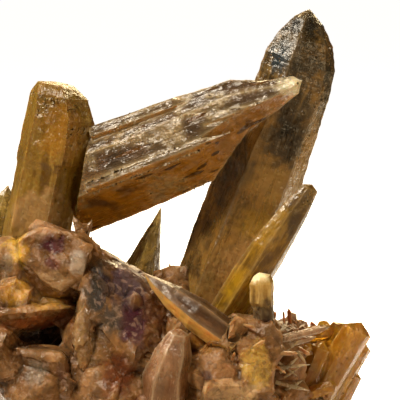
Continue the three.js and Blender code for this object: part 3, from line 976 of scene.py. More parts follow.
class Druse:
    """Small crystals scattered over a surface by a geometry tree."""

    # How much further a crystal may turn about its own line than it tilts.
    SPIN = 4.0

    def __init__(self, name: str) -> None:
        """Builds the tree with named inputs.

        Args:
            name: the tree's name.
        """
        self.tree = bpy.data.node_groups.new(name, "GeometryNodeTree")
        face = self.tree.interface
        face.new_socket("Geometry", in_out="INPUT", socket_type="NodeSocketGeometry")
        for label, kind in (("Crystal", "Object"), ("Mask", "Float"), ("Density", "Float"),
                            ("Smallest", "Vector"), ("Largest", "Vector"), ("Tilt", "Float"),
                            ("Seed", "Int"), ("Material", "Material")):
            face.new_socket(label, in_out="INPUT", socket_type=f"NodeSocket{kind}")
        face.new_socket("Geometry", in_out="OUTPUT", socket_type="NodeSocketGeometry")
        self.inputs = self.tree.nodes.new("NodeGroupInput")
        scattered = self._node("GeometryNodeDistributePointsOnFaces", {
            "Mesh": self._input("Geometry"), "Density": self._weighted(),
            "Seed": self._input("Seed")})
        crystal = self._node("GeometryNodeObjectInfo", {"Object": self._input("Crystal")})
        crystals = self._node("GeometryNodeInstanceOnPoints", {
            "Points": scattered.outputs["Points"], "Instance": crystal.outputs["Geometry"],
            "Rotation": self._tilted(scattered.outputs["Rotation"]),
            "Scale": self._size()})
        real = self._node("GeometryNodeRealizeInstances",
                          {"Geometry": crystals.outputs["Instances"]})
        dressed = self._node("GeometryNodeSetMaterial", {
            "Geometry": real.outputs["Geometry"], "Material": self._input("Material")})
        end = self.tree.nodes.new("NodeGroupOutput")
        self.tree.links.new(dressed.outputs["Geometry"], end.inputs["Geometry"])

    def _input(self, name: str) -> bpy.types.NodeSocket:
        """A named input of the tree."""
        return self.inputs.outputs[name]

    def _node(self, kind: str, sockets: dict[str, object],
              settings: dict[str, object] | None = None) -> bpy.types.Node:
        """Adds a node.

        Args:
            kind: its type name.
            sockets: the values or links of its inputs, by name.
            settings: its properties, which are set first.

        Returns:
            The node.
        """
        made = self.tree.nodes.new(kind)
        for name, value in (settings or {}).items():
            setattr(made, name, value)
        for name, value in sockets.items():
            socket = next(one for one in made.inputs if one.name == name and one.enabled)
            if isinstance(value, bpy.types.NodeSocket):
                self.tree.links.new(value, socket)
            else:
                socket.default_value = value
        return made

    def _weighted(self) -> bpy.types.NodeSocket:
        """The density of crystals at each place.

        Returns:
            The density times the weight that the mesh holds for the mask.
        """
        both = self.tree.nodes.new("ShaderNodeMix")
        self.tree.links.new(self._input("Mask"), both.inputs[0])
        for place, weight in ((2, "growth"), (3, "needles")):
            held = self._node("GeometryNodeInputNamedAttribute", {"Name": weight},
                              {"data_type": "FLOAT"})
            self.tree.links.new(held.outputs["Attribute"], both.inputs[place])
        product = self.tree.nodes.new("ShaderNodeMath")
        product.operation = "MULTIPLY"
        self.tree.links.new(both.outputs[0], product.inputs[0])
        self.tree.links.new(self._input("Density"), product.inputs[1])
        return product.outputs[0]

    def _tilted(self, upright: bpy.types.NodeSocket) -> bpy.types.NodeSocket:
        """The direction of each crystal.

        Args:
            upright: the direction square to the surface.

        Returns:
            That direction, tilted at random.
        """
        ends = []
        for sign in (-1.0, 1.0):
            end = self.tree.nodes.new("ShaderNodeVectorMath")
            end.operation = "SCALE"
            end.inputs[0].default_value = (sign, sign, sign * self.SPIN)
            self.tree.links.new(self._input("Tilt"), end.inputs["Scale"])
            ends.append(end.outputs[0])
        turn = self._node("FunctionNodeRandomValue", {
            "Min": ends[0], "Max": ends[1], "Seed": self._input("Seed")},
            {"data_type": "FLOAT_VECTOR"})
        euler = self._node("FunctionNodeEulerToRotation", {"Euler": turn.outputs[0]})
        tilted = self._node("FunctionNodeRotateRotation", {
            "Rotation": upright, "Rotate By": euler.outputs[0]}, {"rotation_space": "LOCAL"})
        return tilted.outputs[0]

    def _size(self) -> bpy.types.NodeSocket:
        """The random size of each crystal.

        Returns:
            A size between the smallest and the largest, on each of its three axes.
        """
        size = self._node("FunctionNodeRandomValue", {
            "Min": self._input("Smallest"), "Max": self._input("Largest"),
            "Seed": self._input("Seed")}, {"data_type": "FLOAT_VECTOR"})
        return size.outputs[0]

    def grow(self, name: str, skin: bpy.types.Mesh, values: dict[str, object]
             ) -> bpy.types.Mesh:
        """Grows crystals on a mesh and gives them as one plain mesh.

        Args:
            name: the new mesh's name.
            skin: the mesh that they grow on.
            values: the tree's inputs, by name.

        Returns:
            The crystals' mesh, in place.
        """
        ground = bpy.data.objects.new(name, skin)
        bpy.context.scene.collection.objects.link(ground)
        modifier = ground.modifiers.new(name, "NODES")
        modifier.node_group = self.tree
        for item in self.tree.interface.items_tree:
            if item.in_out == "INPUT" and item.name in values:
                modifier[item.identifier] = values[item.name]
        graph = bpy.context.evaluated_depsgraph_get()
        mesh = bpy.data.meshes.new_from_object(ground.evaluated_get(graph))
        bpy.data.objects.remove(ground)
        mesh.name = name
        return mesh


def seed_object(name: str, bm: bmesh.types.BMesh) -> bpy.types.Object:
    """An object to be scattered, which isn't shown itself.

    Args:
        name: its name.
        bm: its mesh, which is freed.

    Returns:
        The object.
    """
    mesh = bpy.data.meshes.new(name)
    bm.to_mesh(mesh)
    bm.free()
    return bpy.data.objects.new(name, mesh)


def seed_crystal(name: str, shoulder: float, top: float) -> bpy.types.Object:
    """A small six-sided crystal one unit long, to be scattered.

    Args:
        name: its name.
        shoulder: the height at which it starts to narrow.
        top: how wide its end is, as a share of its foot.

    Returns:
        The crystal.
    """
    bm = bmesh.new()
    rings = []
    for height, radius in ((-0.25, 0.5), (shoulder, 0.5), (1.0, 0.5 * top)):
        rings.append([bm.verts.new((math.cos(a) * radius, math.sin(a) * radius, height))
                      for a in corner_angles()])
    close_rings(bm, rings)
    return seed_object(name, bm)


def seed_chunk(name: str, corners: int, seed: int) -> bpy.types.Object:
    """A broken chunk one unit wide: the hull of random points on a ball.

    Args:
        name: its name.
        corners: how many points there are.
        seed: the seed of their places.

    Returns:
        The chunk.
    """
    random = np.random.default_rng(seed)
    bm = bmesh.new()
    for way in random.normal(0.0, 1.0, (corners, 3)):
        bm.verts.new(way / np.linalg.norm(way) * 0.5)
    bmesh.ops.convex_hull(bm, input=bm.verts)
    return seed_object(name, bm)


@dataclass(frozen=True)
class Slab:
    """A broad broken piece of the crust's front, by its outline as the camera sees it.

    The outline is in the specimen's millimetres across and up, on the sight plane of Front.
    It lies on the crust, proud of it by a little, or else its face is at the depth given.
    """

    outline: tuple[tuple[float, float], ...]
    proud: float = 0.1
    face: float | None = None


@dataclass(frozen=True)
class Zone:
    """A zone of another colour on the crust's front, placed as a slab is."""

    at: tuple[float, float]
    reach: tuple[float, float]
    colour: str
    amount: float = 1.0


class Front:
    """Lays slabs and zones of colour on the front of the crust, where lines of sight meet it."""

    NODE = "matrix"
    # Where lines of sight start, and the upright plane on which outlines are given.
    EYE: Triple = (0.0, -165.05, 49.2)
    PLANE = -10.0
    # Beyond this depth a line of sight has missed the front.
    FARTHEST = 0.0
    # The rings inside an outline, as shares of the way out from its middle.
    INNER = (0.35, 0.7)
    # The share of the crust's lumps, in percent, that the face of a slab covers.
    COVER = 75
    # How thick a slab is, and how much the middle of one with its own depth stands out.
    THICKNESS = 3.4
    SWELL = 0.9
    # How deep a zone of colour reaches.
    ZONE_DEPTH = 7.0

    def __init__(self) -> None:
        """Prepares the solid."""
        bm = solid_of(self.NODE)
        self.tree = BVHTree.FromBMesh(bm)
        bm.free()
        self.eye = SPECIMEN.place(self.EYE)

    def meet(self, across: float, up: float) -> tuple[Vector, Vector] | None:
        """Follows a line of sight to the solid.

        Args:
            across: where it crosses the plane, to the right.
            up: where it crosses the plane, upwards.

        Returns:
            Where it meets the front and the way that it goes, or None where it misses.
        """
        sight = (SPECIMEN.place((across, self.PLANE, up)) - self.eye).normalized()
        hit, _, _, _ = self.tree.ray_cast(self.eye, sight)
        if hit is None or hit.y > SPECIMEN.place((0.0, self.FARTHEST, 0.0)).y:
            return None
        return hit, sight

    def spots(self, slab: Slab) -> list[tuple[float, float, float]]:
        """The corners of a slab and of the rings inside it.

        Args:
            slab: the slab.

        Returns:
            Their places across and up, each with its share of the way out from the middle.
        """
        middle = np.mean(np.array(slab.outline), axis=0)
        return [(*(middle + (np.array(corner) - middle) * share), share)
                for share in (1.0, *self.INNER) for corner in slab.outline]

    def sheet(self, slab: Slab) -> list[tuple[Vector, float]]:
        """Points of a flat face that lies over the crust's lumps.

        Args:
            slab: the slab.

        Returns:
            The points, each with its share of the way out from the middle.
        """
        found = [(spot, self.meet(float(spot[0]), float(spot[1]))) for spot in self.spots(slab)]
        found = [(spot, *pair) for spot, pair in found if pair]
        across = np.array([(1.0, hit.x, hit.z) for _, hit, _ in found])
        deep = np.array([hit.y for _, hit, _ in found])
        plane = np.linalg.lstsq(across, deep, rcond=None)[0]
        forward = np.percentile(across @ plane - deep, self.COVER)
        points = []
        for spot, hit, sight in found:
            wanted = plane @ np.array((1.0, hit.x, hit.z)) - forward - slab.proud * MM
            points.append((hit + sight * ((wanted - hit.y) / sight.y), float(spot[2])))
        return points

    def hull(self, slab: Slab) -> bpy.types.Mesh:
        """The body of a slab: the hull of its face and its back.

        Args:
            slab: the slab.

        Returns:
            Its mesh, in place.
        """
        if slab.face is None:
            points = self.sheet(slab)
        else:
            points = [(SPECIMEN.place((x, slab.face - self.SWELL * (1 - share), z)), share)
                      for x, z, share in self.spots(slab)]
        bm = bmesh.new()
        for point, share in points:
            bm.verts.new(point)
            if share == 1.0:
                bm.verts.new(point + Vector((0.0, self.THICKNESS * MM, 0.0)))
        bmesh.ops.convex_hull(bm, input=bm.verts)
        loose = [vertex for vertex in bm.verts if not vertex.link_faces]
        bmesh.ops.delete(bm, geom=loose, context="VERTS")
        mesh = bpy.data.meshes.new("slab")
        bm.to_mesh(mesh)
        bm.free()
        return mesh

    def patch(self, zone: Zone) -> Patch:
        """The patch of colour of a zone.

        Args:
            zone: the zone.

        Returns:
            A patch around the place where the zone lies on the crust.
        """
        found = self.meet(*zone.at)
        place = found[0] if found else SPECIMEN.place((zone.at[0], self.PLANE, zone.at[1]))
        at = tuple(float(part) for part in (place - SPECIMEN.shift) / MM)
        return Patch(at, (zone.reach[0], self.ZONE_DEPTH, zone.reach[1]), zone.colour, zone.amount)


@dataclass(frozen=True)
class Growth:
    """One kind of small crystal on the crust. Its sizes are in millimetres."""

    kind: str
    seed_name: str
    mask: Mask
    per_square_metre: float
    smallest: Triple
    largest: Triple
    tilt: float
    number: int


@dataclass
class Crust:
    """The matrix: a worn skin over the solid, and the small crystals and chunks grown on it."""

    node: str = "matrix"
    slot: str = "crust"
    # The skin's making: even cells, rounds of smoothing, the share of faces kept, longest edge.
    voxel: float = 0.35
    smoothing: int = 4
    smoothing_factor: float = 0.6
    facet_share: float = 0.03
    fineness: float = 0.42
    # The relief on it.
    facet_size: float = 2.6
    facet_depth: float = 0.22
    grain_depth: float = 0.05
    wear: float = 0.16
    wear_reach: float = 0.3
    wear_angle: float = 20.0
    sharp_angle: float = 24.0
    underside_reach: float = 1.2
    # The gap that it closes around the feet of crystals, and how far it goes into them.
    close_gap: float = 0.55
    bite: float = 0.12
    # How far a place has to stand out or lie back, in millimetres, to count in full.
    crest_height: float = 0.3
    hollow_depth: float = 0.4
    hollow_rounds: int = 14
    # Where the needles grow, and how much grows on the front, which the slabs cover.
    needle_centre: Triple = (7.6, -9.0, 10.8)
    needle_reach: Triple = (6.0, 6.0, 5.5)
    front_depth: float = -8.0
    front_blend: float = 4.0
    front_growth: float = 0.12
    growths: tuple[Growth, ...] = ()
    slabs: tuple[Slab, ...] = ()
    zones: tuple[Zone, ...] = ()
    finish: CrustFinish | None = None
    crystal_finish: CrustFinish | None = None

    def __post_init__(self) -> None:
        """Prepares the front."""
        self.front = Front()

    def facets(self, points: np.ndarray, size: float, seed: int) -> np.ndarray:
        """The height of a surface of flat, tilted facets that meet at creases.

        Args:
            points: places in millimetres.
            size: the size of a facet.
            seed: the seed of their places and tilts.

        Returns:
            Heights from -1 to 1.
        """
        random = np.random.default_rng(seed)
        low, high = points.min(axis=0), points.max(axis=0)
        count = int(np.prod((high - low) / size) * 1.3)
        centres = random.uniform(low, high, (count, 3))
        tilts = random.normal(0.0, 1.0, (count, 3))
        tree = KDTree(count)
        for place, centre in enumerate(centres):
            tree.insert(centre, place)
        tree.balance()
        near = np.array([[found[1] for found in tree.find_n(point, 5)] for point in points])
        away = (points[:, None, :] - centres[near]) / size
        planes = (away * tilts[near]).sum(axis=2) * 0.8 - np.linalg.norm(away, axis=2) * 1.1
        return np.clip(planes.max(axis=1) + 0.2, -1.0, 1.0)

    def form(self) -> bmesh.types.BMesh:
        """The solid and its slabs in one skin, cut down to broad flat facets.

        Returns:
            The skin.
        """
        bm = solid_of(self.node)
        for slab in self.slabs:
            bm.from_mesh(self.front.hull(slab))
        mesh = bpy.data.meshes.new("crust_form")
        bm.to_mesh(mesh)
        bm.free()
        form = bpy.data.objects.new("crust_form", mesh)
        bpy.context.scene.collection.objects.link(form)
        even = form.modifiers.new("even", "REMESH")
        even.mode = "VOXEL"
        even.voxel_size = self.voxel * MM
        smooth = form.modifiers.new("smooth", "SMOOTH")
        smooth.factor = self.smoothing_factor
        smooth.iterations = self.smoothing
        broad = form.modifiers.new("broad", "DECIMATE")
        broad.ratio = self.facet_share
        graph = bpy.context.evaluated_depsgraph_get()
        cut = bpy.data.meshes.new_from_object(form.evaluated_get(graph))
        bpy.data.objects.remove(form)
        bm = bmesh.new()
        bm.from_mesh(cut)
        LOG.info("crust form: %d faces", len(bm.faces))
        return bm

    def close_on_crystals(self, skin: Skin) -> None:
        """Draws the walls of the sockets onto the feet of the crystals.

        Args:
            skin: the crust's skin.
        """
        for node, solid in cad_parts.items():
            if node == self.node:
                continue
            bm = solid_of(node)
            tree = BVHTree.FromBMesh(bm)
            bm.free()
            low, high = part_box(node)
            reach = self.close_gap * MM
            near = np.all((skin.points > np.array(low) - reach)
                          & (skin.points < np.array(high) + reach), axis=1)
            for index in np.nonzero(near)[0]:
                found, _, _, distance = tree.find_nearest(Vector(skin.points[index]), reach)
                if found is not None:
                    way = np.array(found) - skin.points[index]
                    shortest = max(distance, 0.05 * MM)
                    skin.points[index] += way * (1 + self.bite * MM / shortest)
        skin.write()
        skin.read()

    def build(self) -> None:
        """Builds the crust and its small crystals."""
        patches = tuple(self.front.patch(zone) for zone in self.zones)
        bm = self.form()
        refine(bm, self.fineness)
        bm.verts.index_update()
        bm.verts.ensure_lookup_table()
        rim = rim_distance(bm, self.wear_angle)
        skin = Skin(bm, "matrix_crust")
        points = SPECIMEN.millimetres(skin.points)
        floor = skin.points[:, 2].min()
        lifted = np.clip((skin.points[:, 2] - floor) / MM / self.underside_reach, 0, 1)
        uneven = 0.5 + 0.5 * Grain(6).layers(points / 1.1, 2)
        heights = (self.facet_depth * self.facets(points, self.facet_size, 3)
                   + self.grain_depth * Grain(5).layers(points / 1.4, 3)
                   - self.wear * uneven * np.exp(-(rim / self.wear_reach) ** 2)
                   + self.grain_depth)
        skin.push(heights * lifted)
        skin.read()
        self.close_on_crystals(skin)
        # Crests and hollows, for painted light on the crests and painted shade in the hollows.
        crest, hollow = self.exposure(skin)
        skin.store("crest", crest)
        skin.store("hollow", hollow)
        facing = np.clip(skin.normals[:, 2] + 0.75, 0, 1)
        behind = np.clip((points[:, 1] - self.front_depth) / self.front_blend,
                         self.front_growth, 1)
        skin.store("growth", lifted * facing * behind * (1 - hollow))
        centre, reach = np.array(self.needle_centre), np.array(self.needle_reach)
        away = np.linalg.norm((points - centre) / reach, axis=1)
        skin.store("needles", np.clip(1.4 - away, 0, 1) * lifted * (1 - hollow))
        skin.mesh.materials.clear()
        skin.mesh.materials.append(self.finish.material(patches))
        skin.mesh.polygons.foreach_set("use_smooth", [True] * len(skin.mesh.polygons))
        skin.mesh.set_sharp_from_angle(angle=math.radians(self.sharp_angle))
        self.small_crystals(skin.mesh, patches)
        settle("matrix_crust", skin.mesh, self.slot, self.node)

    def exposure(self, skin: Skin) -> tuple[np.ndarray, np.ndarray]:
        """How far each vertex stands out from its surroundings, or lies back in them.

        Args:
            skin: the crust's skin.

        Returns:
            Two shares from 0 to 1 for each vertex: as a crest, and as a hollow.
        """
        count = len(skin.points)
        edges = np.zeros(len(skin.mesh.edges) * 2, np.int64)
        skin.mesh.edges.foreach_get("vertices", edges)
        first, second = edges.reshape(-1, 2).T
        mean = skin.points.copy()
        for _ in range(self.hollow_rounds):
            total = np.zeros((count, 3))
            np.add.at(total, first, mean[second])
            np.add.at(total, second, mean[first])
            degree = np.bincount(np.concatenate([first, second]), minlength=count)
            mean = total / degree[:, None]
        out = ((skin.points - mean) * skin.normals).sum(axis=1) / MM
        return (np.clip(out / self.crest_height, 0, 1),
                np.clip(-out / self.hollow_depth, 0, 1))

    def small_crystals(self, skin: bpy.types.Mesh, patches: tuple[Patch, ...]) -> None:
        """Grows the small crystals on the crust, one piece a kind.

        Args:
            skin: the crust's mesh.
            patches: its patches of colour, which the crystals share.
        """
        druse = Druse("druse")
        material = self.crystal_finish.material(patches)
        seeds = {"stub": seed_crystal("stub_seed", 0.7, 0.35),
                 "needle": seed_crystal("needle_seed", 0.8, 0.2),
                 "rough": seed_chunk("rough_seed", 15, 2),
                 "blocky": seed_chunk("blocky_seed", 10, 5)}
        for growth in self.growths:
            name = f"crust_{growth.kind}"
            mesh = druse.grow(name, skin, {
                "Crystal": seeds[growth.seed_name], "Mask": growth.mask.value,
                "Density": growth.per_square_metre, "Tilt": growth.tilt,
                "Smallest": [part * MM for part in growth.smallest],
                "Largest": [part * MM for part in growth.largest],
                "Seed": growth.number, "Material": material})
            settle(name, mesh, self.slot, self.node)
        for seed in seeds.values():
            bpy.data.objects.remove(seed)


@dataclass(frozen=True)
class Lamp:
    """A square soft light. Its place is in the specimen's millimetres, its side too."""

    name: str
    place: Triple
    watts: float
    side: float
    colour: str


@dataclass(frozen=True)
class Studio:
    """A pale floor, soft light and the camera at the photograph's angle."""

    # The camera looks down by the tilt, in degrees, from this distance.
    tilt: float = 8.0
    lens: float = 150.0
    distance: float = 166.667
    aim: Triple = (0.0, 0.0, 26.0)
    # The floor: from the edge in front back, a sheet of this half width glows white.
    floor_radius: float = 5000.0
    floor_drop: float = 0.02
    floor_colour: str = "b0a28c"
    sheet_colour: str = "fbfaf8"
    sheet_glow: float = 0.95
    sheet_edge: float = -22.0
    sheet_fade: float = 30.0
    sheet_half: float = 26.0
    sheet_side_fade: float = 25.0
    sheet_flare: float = 0.14
    sky_colour: str = "ffd69a"
    sky_strength: float = 0.09
    lamps: tuple[Lamp, ...] = (
        Lamp("key", (-130.0, -120.0, 220.0), 0.74, 40.0, "fff0d8"),
        Lamp("top", (-170.0, 20.0, 200.0), 0.46, 26.0, "fff2dc"),
        Lamp("fill", (200.0, -160.0, 90.0), 0.2, 120.0, "ffe2b0"),
        Lamp("glow", (30.0, 150.0, 120.0), 0.4, 90.0, "ffe6b4"))

    def camera(self) -> None:
        """Sets the camera."""
        data = bpy.data.cameras.new("camera")
        data.lens = self.lens
        data.clip_start = MM
        data.clip_end = self.floor_radius * MM * 2
        camera = bpy.data.objects.new("camera", data)
        tilt = math.radians(self.tilt)
        back = Vector((0.0, -math.cos(tilt), math.sin(tilt)))
        camera.location = SPECIMEN.place(self.aim) + back * self.distance * MM
        camera.rotation_euler = (math.pi / 2 - tilt, 0.0, 0.0)
        bpy.context.scene.collection.objects.link(camera)
        bpy.context.scene.camera = camera

    def floor(self) -> None:
        """Makes the floor, a wide pale disc."""
        bm = bmesh.new()
        bmesh.ops.create_circle(bm, cap_ends=True, segments=96, radius=self.floor_radius * MM)
        mesh = bpy.data.meshes.new("floor")
        bm.to_mesh(mesh)
        bm.free()
        graph = Graph("pale_floor")
        point = graph.point()
        depth = graph.along(point, Vector((0.0, 1.0, 0.0)))
        across = graph.along(point, Vector((1.0, 0.0, 0.0)))
        beside = across.larger(across * -1.0) - depth * self.sheet_flare
        sheet = beside.step(self.sheet_half + self.sheet_side_fade, self.sheet_half)
        behind = depth.step(self.sheet_edge, self.sheet_edge + self.sheet_fade) * sheet
        surface = graph.node("ShaderNodeBsdfPrincipled", sockets={
            "Base Color": graph.mix(behind, tint(self.floor_colour), tint(self.sheet_colour)),
            "Emission Color": graph.mix(behind, tint("000000"), tint("ffffff")),
            "Roughness": 0.9, "Emission Strength": self.sheet_glow})
        mesh.materials.append(graph.output(surface))
        floor = bpy.data.objects.new("floor", mesh)
        floor.location.z = -self.floor_drop * MM
        bpy.context.scene.collection.objects.link(floor)

    def hang(self, lamp: Lamp) -> None:
        """Hangs a lamp so that it faces the specimen.

        Args:
            lamp: the lamp.
        """
        data = bpy.data.lights.new(lamp.name, "AREA")
        data.energy = lamp.watts
        data.size = lamp.side * MM
        data.color = tint(lamp.colour)[:3]
        light = bpy.data.objects.new(lamp.name, data)
        light.location = SPECIMEN.place(lamp.place)
        aim = SPECIMEN.place(self.aim) - light.location
        light.rotation_euler = aim.to_track_quat("-Z", "Y").to_euler()
        bpy.context.scene.collection.objects.link(light)

    def build(self) -> None:
        """Builds the studio."""
        self.camera()
        self.floor()
        for lamp in self.lamps:
            self.hang(lamp)
        world = bpy.data.worlds.new("studio")
        world.use_nodes = True
        background = world.node_tree.nodes["Background"]
        background.inputs["Color"].default_value = tint(self.sky_colour)
        background.inputs["Strength"].default_value = self.sky_strength
        bpy.context.scene.world = world
        bpy.context.scene.view_settings.view_transform = "Standard"


# The finishes of the crystals. A patch is placed in the specimen's millimetres.
SMOKY = CrystalFinish(
    name="smoky", deep="34260e", body="b4883a", light="c09a58", rim="9a8460",
    rim_amount=0.4, cloud=0.22, roughness=0.26, clearness=0.35, across_depth=0.06,
    streak_amount=0.3, painted_sparkle=0.5,
    absorbed="a8803c", absorption=150.0,
    patches=(
        Patch((5.4, -4.0, 24.2), (2.0, 2.5, 1.8), "b88e30", 0.8),
        Patch((4.0, -4.0, 19.6), (3.0, 2.8, 3.6), "c0945a", 0.7),
        Patch((8.2, -3.5, 32.0), (2.2, 2.6, 2.6), "100a04", 0.9),
        Patch((9.8, -2.5, 41.0), (3.0, 3.6, 4.4), "1e180e", 0.9),
        Patch((8.2, -0.5, 40.4), (1.6, 3.2, 3.0), "242e34", 1.0),
        Patch((10.8, -0.5, 43.6), (2.0, 2.4, 1.6), "2c2a22", 0.9),
        Patch((13.0, -1.0, 35.0), (1.6, 4.0, 8.0), "20221e", 0.85),
        Patch((1.9, -3.0, 27.0), (0.9, 3.0, 2.6), "2a1c0e", 0.7),
        Patch((0.6, -3.0, 23.6), (0.9, 3.0, 2.6), "2a1c0e", 0.7),
        Patch((-0.6, -3.0, 20.4), (0.9, 3.0, 2.6), "3a2612", 0.7),
        Patch((9.9, -1.0, 43.4), (1.3, 3.0, 0.7), "060504", 1.0),
        Patch((10.9, -2.2, 40.2), (0.5, 2.0, 0.5), "14100a", 0.9),
        Patch((2.4, -2.5, 16.4), (2.6, 3.0, 2.6), "ac8048", 0.7)))
HONEY = CrystalFinish(
    name="honey", deep="604208", body="92701c", light="ac8c3c", rim="b49048",
    rim_amount=0.3, cloud=0.3, roughness=0.3, clearness=0.25, milk=0.6,
    absorbed="c88c34", absorption=90.0,
    patches=(
        Patch((-17.3, -1.5, 31.0), (1.5, 4.0, 7.0), "80601c", 0.6),
        Patch((-13.5, -4.0, 33.5), (2.6, 2.0, 3.4), "986a10", 0.7),
        Patch((-16.0, -4.6, 25.0), (3.4, 2.0, 3.0), "b08c5c", 0.8)))
# Its underside colours paint a golden glow on the lower face.
STRIATED = CrystalFinish(
    name="striated", deep="362618", body="543e2c", light="7c6248", rim="d4bc8c",
    rim_amount=0.6, cloud=0.3, streak=3.4, streak_amount=0.4, stretch=12.0, roughness=0.22,
    clearness=0.35, streak_depth=0.04, gloss=0.3, absorbed="d08c20", absorption=110.0,
    painted_underside="c4860c", painted_underside_dark_and_slit_shade="5e3c06", painted_underside_amount=1.0, shade=0.15, lath=0.32,
    # These patches paint a glow at the tip: a near-white painted highlight, with a golden painted
    # glow below it.
    patches=(
        Patch((9.2, -7.0, 37.8), (2.1, 4.0, 1.2), "fff8e0", 1.0),
        Patch((9.3, -7.0, 36.4), (1.6, 4.0, 0.9), "f0ac18", 1.0)))
PALE = CrystalFinish(
    name="pale_glass", deep="5e4410", body="94742a", light="c4aa5c", rim="d8c480",
    rim_amount=0.5, cloud=0.5, roughness=0.2, clearness=0.6, milk=0.4,
    absorbed="cca048", absorption=90.0)
# Its underside colours paint light onto the lower face, which lies in shade.
ROSY = CrystalFinish(
    name="rosy_glass", deep="38200a", body="4c3016", light="6c4a2c", rim="c8a478",
    rim_amount=0.5, cloud=0.5, roughness=0.3, clearness=0.35, milk=0.5, gloss=0.15, glint=0.05,
    absorbed="cc9448", absorption=80.0, painted_underside="ffc868", painted_underside_dark_and_slit_shade="dc9c4c",
    painted_underside_amount=1.0)
WHITISH = CrystalFinish(
    name="whitish_glass", deep="94704c", body="c4a480", light="e4d4b8", rim="e8dcc4",
    rim_amount=0.3, cloud=0.5, roughness=0.2, clearness=0.3, milk=0.5,
    absorbed="d8b080", absorption=60.0)
# Its underside colours paint shade on the faces that look down.
ROSE = CrystalFinish(
    name="rose_glass", deep="6e4426", body="9c6e48", light="c49c7c", rim="e0c8a8",
    rim_amount=0.5, cloud=0.5, roughness=0.22, clearness=0.3, milk=0.5, gloss=0.3,
    absorbed="cc9448", absorption=80.0, painted_underside="8a5c34", painted_underside_dark_and_slit_shade="6a4020",
    painted_underside_amount=0.5)
OLIVE = CrystalFinish(
    name="olive_glass", deep="60420c", body="c0921a", light="d0aa50", rim="b89c60",
    rim_amount=0.5, cloud=0.5, roughness=0.22, clearness=0.4, glint=0.08, gloss=0.2,
    absorbed="bc8c30", absorption=150.0,
    patches=(
        Patch((9.7, -8.6, 25.2), (1.6, 2.4, 4.4), "341c12", 0.9),
        Patch((3.8, -9.0, 18.4), (1.6, 2.4, 2.4), "c09410", 0.8)))
CREAM = CrystalFinish(
    name="cream", deep="82602c", body="ac8842", light="d0b678", rim="d8c08c",
    rim_amount=0.2, cloud=0.5, roughness=0.3, clearness=-0.4, milk=0.3, painted_sparkle=0.1, gloss=0.15,
    # The first patch is a painted highlight on the cap.
    patches=(
        Patch((5.4, -10.8, 20.4), (1.3, 3.0, 0.7), "f0e2b8", 1.0),
        Patch((6.2, -9.6, 15.6), (2.6, 5.0, 3.0), "2c1004", 1.0)))
AMBER = CrystalFinish(
    name="amber_glass", deep="9a6404", body="c88c0c", light="ecb830", rim="f0c464",
    rim_amount=0.3, cloud=0.45, roughness=0.16, clearness=0.45, milk=0.6, streak=1.8,
    absorbed="e8a020", absorption=140.0, gloss=0.25,
    patches=(
        Patch((10.2, -6.0, 8.6), (2.0, 2.4, 2.4), "8a3400", 0.7),
        Patch((15.4, -4.4, 12.8), (1.6, 2.2, 2.0), "c8985c", 0.4)))
ZONES = (
    # The high lump at the left: yellow at its side, with a wine-red stain and a grey corner.
    Zone((-14.5, 25.1), (2.3, 0.9), "a07a5a", 0.7),
    Zone((-17.1, 23.1), (1.6, 1.8), "b48c2c", 1.0),
    Zone((-13.9, 23.3), (1.4, 1.1), "4a1a28", 0.9),
    Zone((-13.9, 21.4), (1.0, 0.7), "6a3038", 0.7),
    Zone((-11.4, 21.4), (0.9, 1.4), "9c9084", 0.8),
    Zone((-13.6, 19.7), (1.9, 1.1), "b09068", 0.6),
    # The lumps and the ledge below it, and painted shade in the dark cavity.
    Zone((-18.2, 21.5), (0.7, 1.5), "6c5e4c", 0.8),
    Zone((-17.5, 18.5), (1.4, 1.3), "a87c24", 0.9),
    Zone((-14.1, 17.9), (2.4, 0.9), "a07834", 0.9),
    Zone((-15.2, 16.1), (3.4, 1.0), "94542a", 0.8),
    Zone((-15.4, 14.0), (3.7, 1.6), "240e02", 1.0),
    # The broad slab in the middle: a painted highlight on its edge, then slate, plum and wine.
    Zone((-11.4, 14.8), (0.6, 3.0), "a88c60", 0.7),
    Zone((-9.7, 18.8), (1.6, 2.8), "2a2a2c", 1.0),
    Zone((-7.2, 19.4), (2.8, 2.1), "4c3a42", 1.0),
    Zone((-8.1, 16.2), (1.8, 2.0), "4c423c", 1.0),
    Zone((-6.0, 15.6), (1.8, 2.4), "48202e", 1.0),
    Zone((-4.3, 17.1), (1.4, 2.2), "6a4020", 0.7),
    # The low lumps in front.
    Zone((-10.2, 13.0), (1.6, 2.1), "80603a", 0.8),
    Zone((-7.8, 10.8), (1.8, 2.4), "64300a", 1.0),
    Zone((-17.1, 10.7), (1.8, 2.5), "8e6844", 0.7),
    Zone((-15.7, 11.0), (1.3, 1.2), "8c8070", 0.6),
    Zone((-13.2, 11.1), (0.6, 1.1), "4a1c0c", 0.8),
    Zone((-10.9, 9.8), (1.0, 1.7), "a07850", 0.8),
    Zone((-4.6, 9.0), (1.9, 1.1), "5a1a20", 0.85),
    # The pale and yellow lumps at the right, and the brown ones at the foot of the stub.
    Zone((3.6, 11.5), (4.6, 4.0), "9a7048", 1.0),
    Zone((5.4, 11.2), (1.5, 2.8), "c8a450", 1.0),
    Zone((0.2, 14.0), (1.2, 1.0), "8a5a0c", 0.9),
    Zone((3.2, 8.9), (3.2, 1.3), "c4a47c", 0.9),
    Zone((0.6, 10.6), (0.6, 0.5), "4a2410", 0.8),
    Zone((8.8, 15.2), (2.2, 1.8), "6e4424", 1.0),
    Zone((5.9, 16.5), (1.1, 0.8), "4a2010", 0.7),
    Zone((9.5, 11.5), (2.3, 3.4), "8a6444", 0.9))


